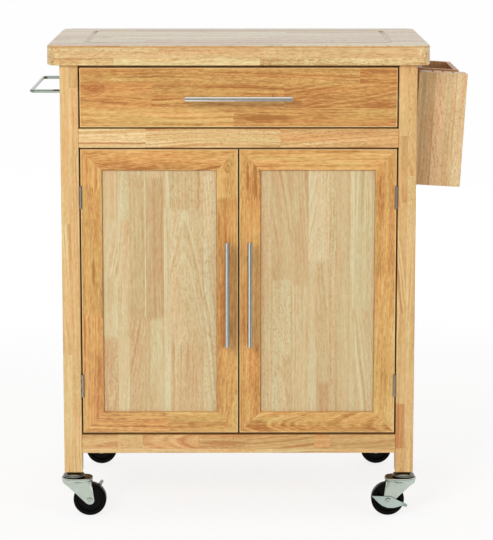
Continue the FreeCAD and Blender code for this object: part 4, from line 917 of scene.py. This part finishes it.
# %% The metal group
LINES_SHARE, CLOUD_SHARE = 0.6, 0.4
LINES_DETAIL, CLOUD_DETAIL = 2.0, 3.0
CLOUDS_PER_METRE = 90.0
metal_given = {"Vector": ["Place", "Brush"], "Float": ["Rough", "Spread"], "Color": ["Light", "Shade"]}
brushed_metal, given, made = new_group("brushed_metal", metal_given, surface_made)
tree = brushed_metal
stretched = vectors(tree, "MULTIPLY", given["Place"], given["Brush"])[0]
lines = noise(tree, stretched, 1.0, LINES_DETAIL)
cloud = noise(tree, given["Place"], CLOUDS_PER_METRE, CLOUD_DETAIL)
worn = scaled(tree, lines, LINES_SHARE, times(tree, cloud, CLOUD_SHARE))
tree.links.new(mixed(tree, worn, given["Shade"], given["Light"]), made["Color"])
tree.links.new(swing(tree, worn, given["Spread"], given["Rough"]), made["Roughness"])
tree.links.new(lines, made["Height"])
print("brushed metal group:", len(tree.nodes), "nodes")

# %% [markdown]
# Each finish says which way the brush went, how dull the metal is and how unevenly, and its two colours. On
# top of a fork's crown, under the cap, the metal is painted dark from that height up: painted shade and dark
# reflection.

# %% Metal finishes
# CROWN_SHADE is painted shade and dark reflection on top of a fork's crown, under the cap.
CROWN_SHADE, CROWN_SHADE_FADES = paint(62, 50, 34), 0.0003
BRUSH_BUMP, BRUSH_DEPTH = 0.03, 0.0005


def metal_finish(name, brush, rough, spread, light, shade, bump=BRUSH_BUMP, shaded_above=None):
    """A metal whose brush lines change so many times in a metre along x, y and z."""
    material, tree = fresh_material(name)
    place = place_on(tree)
    sockets = {"Place": place, "Brush": brush, "Rough": rough, "Spread": spread, "Light": paint(*light),
               "Shade": paint(*shade)}
    metal = use_group(tree, brushed_metal, sockets)
    colour = metal["Color"]
    # Painted shade: the metal is dark above that height.
    if shaded_above:
        on_top = between(tree, apart(tree, place)[2], shaded_above - CROWN_SHADE_FADES, shaded_above)
        colour = mixed(tree, on_top, colour, CROWN_SHADE)
    sockets = {"Base Color": colour, "Roughness": metal["Roughness"], "Metallic": 1.0}
    surfaced(tree, metal["Height"], bump, BRUSH_DEPTH, sockets)
    return material


upright_steel = metal_finish(
    "upright_satin_steel", (2500, 2500, 40), 0.2, 0.12, (198, 194, 183), (150, 146, 136))
level_steel = metal_finish(
    "level_satin_steel", (40, 2500, 2500), 0.22, 0.12, (222, 219, 210), (178, 175, 166))
hinge_steel = metal_finish("hinge_steel", (1500, 1500, 60), 0.35, 0.2, (180, 170, 158), (128, 118, 108))
runner_steel = metal_finish("runner_steel", (2000, 30, 2000), 0.32, 0.2, (214, 216, 216), (180, 184, 186))
rail_chrome = metal_finish(
    "rail_chrome", (300, 300, 300), 0.08, 0.06, (160, 171, 160), (124, 133, 124), bump=0.0)
# The fork's crown top is painted dark, a painted shade under the cap.
fork_zinc = metal_finish(
    "fork_zinc", (700, 700, 700), 0.2, 0.2, (212, 221, 210), (152, 162, 151), shaded_above=0.07448)
lever_zinc = metal_finish("lever_zinc", (700, 700, 700), 0.3, 0.25, (208, 223, 217), (158, 176, 170))
cap_zinc = metal_finish("cap_zinc", (500, 500, 500), 0.2, 0.2, (146, 145, 136), (86, 85, 79))
METALS = [
    (upright_steel, ["left_door_handle", "right_door_handle"]),
    (level_steel, ["drawer_handle"]),
    (hinge_steel, ["hinge_leg_leaves", "hinge_pins", "frame_screws", "shelf_pins", "left_door_hinge_leaves",
                   "left_door_fixings", "right_door_hinge_leaves", "right_door_fixings"]),
    (runner_steel, ["runner_channels", "drawer_runners", "runner_ball_cages"]),
    (rail_chrome, ["towel_rail"]),
    (cap_zinc, ["caster_inserts"]),
]
for metal, names in METALS:
    for name in names:
        dress(name, metal)
    print(metal.name, "on", len(names), "nodes")

# %% [markdown]
# Two plastics: the wheels are moulded in a glossy black, with faint flow marks, and the magnet catch in a
# dull cream. One flat colour would look painted, so a fine noise varies colour and gloss together.

# %% Plastics
FLOW_DETAIL = 4.0
FLOW_ROUGH = 0.2
FLOW_BUMP, FLOW_DEPTH = 0.05, 0.0005


def plastic_finish(name, light, shade, rough, grain, specular):
    material, tree = fresh_material(name)
    marks = noise(tree, place_on(tree), grain, FLOW_DETAIL)
    sockets = {"Base Color": mixed(tree, marks, paint(*shade), paint(*light)),
               "Roughness": swing(tree, marks, FLOW_ROUGH, rough), "Specular IOR Level": specular}
    surfaced(tree, marks, FLOW_BUMP, FLOW_DEPTH, sockets)
    return material


wheel_black = plastic_finish("wheel_black", (15, 14, 13), (7, 6, 6), rough=0.26, grain=260.0, specular=0.07)
catch_cream = plastic_finish(
    "catch_cream", (226, 218, 200), (212, 203, 184), rough=0.55, grain=400.0, specular=0.5)
dress("magnet_catch", catch_cream)
print("plastics mixed")

# %% [markdown]
# A caster has softer shapes than plain solids give: the wheel is a moulded disc with a round tread and a
# sunk web, the fork is pressed from sheet that flares out under its crown, and the brake lever is a leaf
# with one end bent out. They are modelled again here. Each is made in millimetres at the origin, with its
# wheel trailing towards +x. A turned part is one profile that is spun once round its axis. A plate is an
# outline that is raised, and what is sharp is rounded off.

# %% Turned parts and plates
ROUND_STEPS = 72
SAME_POINT = 0.01
SHARP_ANGLE = 1.0
SHEET_ROUND = 0.5, 2


def turned(profile, axis, middle):
    """A closed shell from (radius, height) pairs, spun round an axis through the middle point."""
    bm = bmesh.new()
    axis, middle = Vector(axis), Vector(middle)
    corners = [bm.verts.new(middle + Vector((radius, 0, 0)) + axis * height) for radius, height in profile]
    pairs = list(zip(corners, corners[1:]))
    if profile[0][0] > 0:
        pairs.append((corners[-1], corners[0]))
    line = [bm.edges.new(pair) for pair in pairs]
    bmesh.ops.spin(bm, geom=corners + line, cent=middle, axis=axis, angle=math.tau, steps=ROUND_STEPS,
                   use_merge=True)
    bmesh.ops.remove_doubles(bm, verts=bm.verts, dist=SAME_POINT)
    bmesh.ops.recalc_face_normals(bm, faces=bm.faces)
    return bm


def softened(bm, offset, segments):
    """Round off every sharp edge of a part."""
    sharp = [edge for edge in bm.edges if edge.is_manifold and edge.calc_face_angle() > SHARP_ANGLE]
    bmesh.ops.bevel(bm, geom=sharp, offset=offset, segments=segments, affect="EDGES", profile=0.5,
                    material=-1)
    return bm


def raised(bm, height):
    """A flat outline, raised into a plate."""
    top = bmesh.ops.extrude_face_region(bm, geom=bm.faces[:])["geom"]
    lifted = [item for item in top if isinstance(item, bmesh.types.BMVert)]
    bmesh.ops.translate(bm, verts=lifted, vec=(0, 0, height))
    bmesh.ops.recalc_face_normals(bm, faces=bm.faces)
    return bm


print("round parts have", ROUND_STEPS, "steps")

# %% [markdown]
# A finished part goes where the frame's joints say that the swivel is. The right-hand casters trail the
# other way. Parts that move together are joined into one piece, which rides on its body in the solid's
# stead.

# %% Placing a caster part
SMOOTH_TO = math.radians(40)
CASTER_TURNS = {"front_left": 0, "front_right": 180, "rear_left": 0, "rear_right": 180}
anchors = {joint["name"]: Vector(joint["pos_m"]) for joint in frame["joints"] if "pos_m" in joint}


def caster_place(corner):
    swivel = anchors[corner + "_swivel_turn"]
    turn = Matrix.Rotation(math.radians(CASTER_TURNS[corner]), 4, "Z")
    return Matrix.Translation((swivel.x, swivel.y, 0)) @ turn @ Matrix.Scale(MM, 4)


def caster_piece(name, parts, material, body, node):
    mesh = bpy.data.meshes.new(name)
    whole = bmesh.new()
    for part, place in parts:
        bmesh.ops.transform(part, matrix=place, verts=part.verts)
        part.to_mesh(mesh)
        part.free()
        whole.from_mesh(mesh)
    for face in whole.faces:
        face.smooth = True
    whole.to_mesh(mesh)
    whole.free()
    mesh.set_sharp_from_angle(angle=SMOOTH_TO)
    mesh.materials.append(material)
    piece = bpy.data.objects.new(name, mesh)
    bpy.context.scene.collection.objects.link(piece)
    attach(piece, body)
    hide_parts(node)
    print(name, len(mesh.polygons), "faces")


print("caster places:", [[round(v, 3) for v in caster_place(corner).translation] for corner in CASTER_TURNS])

# %% [markdown]
# The wheel is one spun profile: a bore, a hub, a sunk web, a flat ring, a fine groove and the round tread.
# Spinning gives the rings that catch the light, which a cylinder with a rounded edge would not.

# %% Wheels
TRAIL = 30.0
AXLE_HIGH = 31.5
HUB = Vector((TRAIL, 0, AXLE_HIGH))
WHEEL_SIDE = [(3.2, 11.6), (3.8, 12.0), (8.2, 12.0), (9.2, 11.4), (10.0, 8.6), (11.6, 7.8), (21.0, 7.8),
              (22.6, 8.4), (23.4, 11.2), (24.2, 12.0), (27.0, 12.0), (27.5, 11.4), (28.0, 11.9), (29.4, 11.4),
              (30.6, 10.3), (31.3, 8.8), (31.5, 7.0)]
WHEEL_PROFILE = WHEEL_SIDE + [(radius, -height) for radius, height in reversed(WHEEL_SIDE)]
for corner in CASTER_TURNS:
    wheel = turned(WHEEL_PROFILE, (0, 1, 0), HUB)
    caster_piece(corner + "_caster_wheel", [(wheel, caster_place(corner))], wheel_black,
                 corner + "_wheel_set", corner + "_wheel")

# %% [markdown]
# The fork's crown is a disc with a tongue towards the wheel: a circle whose trailing half is drawn out,
# given thickness and rounded.

# %% Fork crown
CROWN_RADIUS = 24.4
CROWN_LOW, CROWN_HIGH = 68.5, 74.5
CROWN_ROUND = 2.4, 5
TONGUE = 36.0
SQUARENESS = 2 / 3


def crown_outline(cosine, sine):
    if cosine <= 0:
        return CROWN_RADIUS * cosine, CROWN_RADIUS * sine
    return TONGUE * cosine ** SQUARENESS, math.copysign(CROWN_RADIUS * abs(sine) ** SQUARENESS, sine)


def crown_half_width(x):
    if x <= 0:
        return math.sqrt(max(CROWN_RADIUS ** 2 - x ** 2, 0.0))
    return CROWN_RADIUS * max(1 - (x / TONGUE) ** (2 / SQUARENESS), 0.0) ** (SQUARENESS / 2)


def fork_crown():
    bm = bmesh.new()
    bmesh.ops.create_circle(bm, cap_ends=True, segments=ROUND_STEPS, radius=CROWN_RADIUS)
    for vert in bm.verts:
        x, y = crown_outline(vert.co.x / CROWN_RADIUS, vert.co.y / CROWN_RADIUS)
        vert.co = (x, y, CROWN_LOW)
    return softened(raised(bm, CROWN_HIGH - CROWN_LOW), *CROWN_ROUND)


print("crown", 2 * crown_half_width(0), "mm wide")

# %% [markdown]
# Each side plate is a grid laid between the plate's two edges, row by row, and its upper rows swing out to
# meet the crown, as pressed sheet does. A solidify step then gives it the thickness of the sheet. The axle
# is a rivet, whose head stands on the plate or, in front, on the brake lever.

# %% Fork plates and axle
LUG_RADIUS = 9.0
PLATE_OUTSIDE = 15.5
LEVER_INSIDE, LEVER_OUTSIDE = 16.1, 18.7
SHEET = 2.0
FLARE_FROM, FLARE_TO = 55.0, 69.0
CROWN_LIP = 1.0
HEEL = [(70.5, -22.6), (67.0, -22.2), (64.0, -19.4), (61.0, -15.0), (58.0, -11.0), (54.0, -6.9),
        (24.9, 23.86)]
TOE = [(70.5, 33.2), (31.5, 39.0)]
PLATE_ROWS = [70.5, 69, 67.5, 66, 64.5, 63, 61.5, 60, 58.5, 57, 54, 50, 45, 40, 36, 31.5, 29, 27, 25, 24,
              23.2, 22.75, 22.55]
PLATE_COLUMNS = 14
RIVET_HEAD = [(0, 0.5), (1.5, 0.6), (2.2, 1.7), (4.2, 1.8), (5.2, 1.2), (5.5, 0.0), (3.0, 0.0)]


def on_line(knots, value):
    """The place on a line of (position, place) knots, straight between the two nearest."""
    for (a, place_a), (b, place_b) in zip(knots, knots[1:]):
        if min(a, b) <= value <= max(a, b):
            return place_a + (place_b - place_a) * (value - a) / (b - a)
    return knots[0][1] if abs(value - knots[0][0]) < abs(value - knots[-1][0]) else knots[-1][1]


def plate_edges(z):
    bulge = math.sqrt(max(LUG_RADIUS ** 2 - (z - AXLE_HIGH) ** 2, 0.0))
    left = on_line(HEEL, z) if z >= HEEL[-1][0] else TRAIL - bulge
    right = on_line(TOE, z) if z >= AXLE_HIGH else TRAIL + bulge
    return left, right


def fork_plate(side):
    bm = bmesh.new()
    rows = len(PLATE_ROWS) - 1
    bmesh.ops.create_grid(bm, x_segments=PLATE_COLUMNS, y_segments=rows, size=1)
    for vert in bm.verts:
        z = PLATE_ROWS[round((1 - vert.co.y) / 2 * rows)]
        left, right = plate_edges(z)
        x = left + (right - left) * (vert.co.x + 1) / 2
        flare = min(max((z - FLARE_FROM) / (FLARE_TO - FLARE_FROM), 0.0), 1.0) ** 2
        y = PLATE_OUTSIDE + (crown_half_width(x) - CROWN_LIP - PLATE_OUTSIDE) * flare
        vert.co = (x, side * y, z)
    bmesh.ops.recalc_face_normals(bm, faces=bm.faces)
    if bm.faces[:][-1].normal.y * side < 0:
        bmesh.ops.reverse_faces(bm, faces=bm.faces[:])
    bmesh.ops.solidify(bm, geom=bm.faces[:], thickness=SHEET)
    return softened(bm, *SHEET_ROUND)


def rivet_axle(near, far):
    near_head = [(radius, -near - height) for radius, height in RIVET_HEAD]
    far_head = [(radius, far + height) for radius, height in reversed(RIVET_HEAD)]
    return turned(near_head + far_head, (0, 1, 0), HUB)


for corner in CASTER_TURNS:
    far = LEVER_OUTSIDE if corner.startswith("front") else PLATE_OUTSIDE
    place = caster_place(corner)
    parts = [fork_crown(), fork_plate(-1), fork_plate(1), rivet_axle(PLATE_OUTSIDE, far)]
    caster_piece(corner + "_caster_fork", [(part, place) for part in parts], fork_zinc,
                 corner + "_swivel", corner + "_fork")

# %% [markdown]
# The brake lever is a leaf of sheet with a straight back, a full belly and one end that is bent out for the
# toe. A grid is wrapped round the rivet hole, so its inner edge is the hole and its outer edge the leaf,
# and the end is bent round a fold. The two levers stand at different angles, as somebody's foot left them.

# %% Brake levers
LEAF = [(40.0, 0.0), (39.4, 2.2), (37.0, 3.2), (32.0, 3.4), (28.0, 3.5), (16.0, 5.6), (3.5, 8.6),
        (-10.0, 5.6), (-24.0, 2.3), (-31.0, 0.9), (-32.0, 0.0), (-31.0, -1.0), (-26.0, -3.8), (-18.0, -8.7),
        (-8.0, -13.2), (3.0, -14.6), (14.0, -12.0), (22.0, -7.6), (28.0, -3.7), (32.0, -3.4), (37.0, -3.2),
        (39.4, -2.2), (40.0, 0.0)]
LEAF_STEPS, LEAF_RINGS = 110, 14
HOLE_RADIUS = 3.3
FOLD, FOLD_ROUND = 28.0, 4.0
FOLD_ANGLE = math.radians(32)
LEVERS = {"front_left": (1, 52), "front_right": (-1, 15)}


def folded(reach):
    """How far along and how far out a point lies once the end past the fold is bent out."""
    past = max(reach - FOLD, 0.0)
    curl = min(past / FOLD_ROUND, FOLD_ANGLE)
    rest = past - curl * FOLD_ROUND
    along = min(reach, FOLD) + FOLD_ROUND * math.sin(curl) + rest * math.cos(curl)
    return along, FOLD_ROUND * (1 - math.cos(curl)) + rest * math.sin(curl)


def brake_leaf(long_side):
    lengths = [0.0]
    for start, end in zip(LEAF, LEAF[1:]):
        lengths.append(lengths[-1] + math.dist(start, end))
    xs = [(length, point[0]) for length, point in zip(lengths, LEAF)]
    zs = [(length, point[1]) for length, point in zip(lengths, LEAF)]
    bm = bmesh.new()
    bmesh.ops.create_grid(bm, x_segments=LEAF_STEPS, y_segments=LEAF_RINGS, size=1)
    for vert in bm.verts:
        length = (vert.co.x + 1) / 2 * lengths[-1]
        rim = Vector((on_line(xs, length), 0, on_line(zs, length)))
        hole = rim.normalized() * HOLE_RADIUS
        point = hole.lerp(rim, (vert.co.y + 1) / 2)
        along, out = folded(point.x)
        vert.co = (long_side * along, LEVER_INSIDE + out, point.z)
    bmesh.ops.remove_doubles(bm, verts=bm.verts, dist=SAME_POINT)
    bmesh.ops.recalc_face_normals(bm, faces=bm.faces)
    if bm.faces[:][0].normal.y > 0:
        bmesh.ops.reverse_faces(bm, faces=bm.faces[:])
    bmesh.ops.solidify(bm, geom=bm.faces[:], thickness=SHEET)
    return softened(bm, *SHEET_ROUND)


for corner, (long_side, angle) in LEVERS.items():
    tilt = Matrix.Translation(HUB) @ Matrix.Rotation(math.radians(-angle), 4, "Y")
    caster_piece(corner + "_caster_lever", [(brake_leaf(long_side), caster_place(corner) @ tilt)], lever_zinc,
                 corner + "_brake", corner + "_brake_lever")

# %% [markdown]
# The stem, its domed cap and the riveted kingpin are one spun profile, and a nut sits on the cap. All four
# stand still under the legs, so they are one piece.

# %% Stems and caps
STEM_PROFILE = [(0, 116.0), (4.2, 116.0), (5.0, 115.0), (5.0, 84.9), (9.0, 84.6), (12.5, 84.2), (16.0, 83.0),
                (19.0, 81.0), (20.6, 78.9), (21.0, 77.2), (20.8, 76.2), (20.0, 75.7), (12.0, 75.2),
                (5.0, 75.2), (5.0, 66.2), (7.4, 66.2), (8.0, 65.6), (7.4, 64.4), (5.0, 64.0), (0, 64.0)]
NUT_LOW, NUT_HIGH = 83.0, 86.0
NUT_RADIUS = 8.4


def hex_nut():
    bm = bmesh.new()
    bmesh.ops.create_circle(bm, cap_ends=True, segments=6, radius=NUT_RADIUS)
    bmesh.ops.translate(bm, verts=bm.verts, vec=(0, 0, NUT_LOW))
    return softened(raised(bm, NUT_HIGH - NUT_LOW), *SHEET_ROUND)


stem_parts = []
for corner in CASTER_TURNS:
    place = caster_place(corner)
    stem_parts += [(turned(STEM_PROFILE, (0, 0, 1), (0, 0, 0)), place), (hex_nut(), place)]
caster_piece("caster_stems_and_caps", stem_parts, cap_zinc, "cabinet", "caster_stems")

# %% [markdown]
# Before it ends, the lesson sets the colour view to Standard.

# %% Colour view
bpy.context.scene.view_settings.view_transform = "Standard"
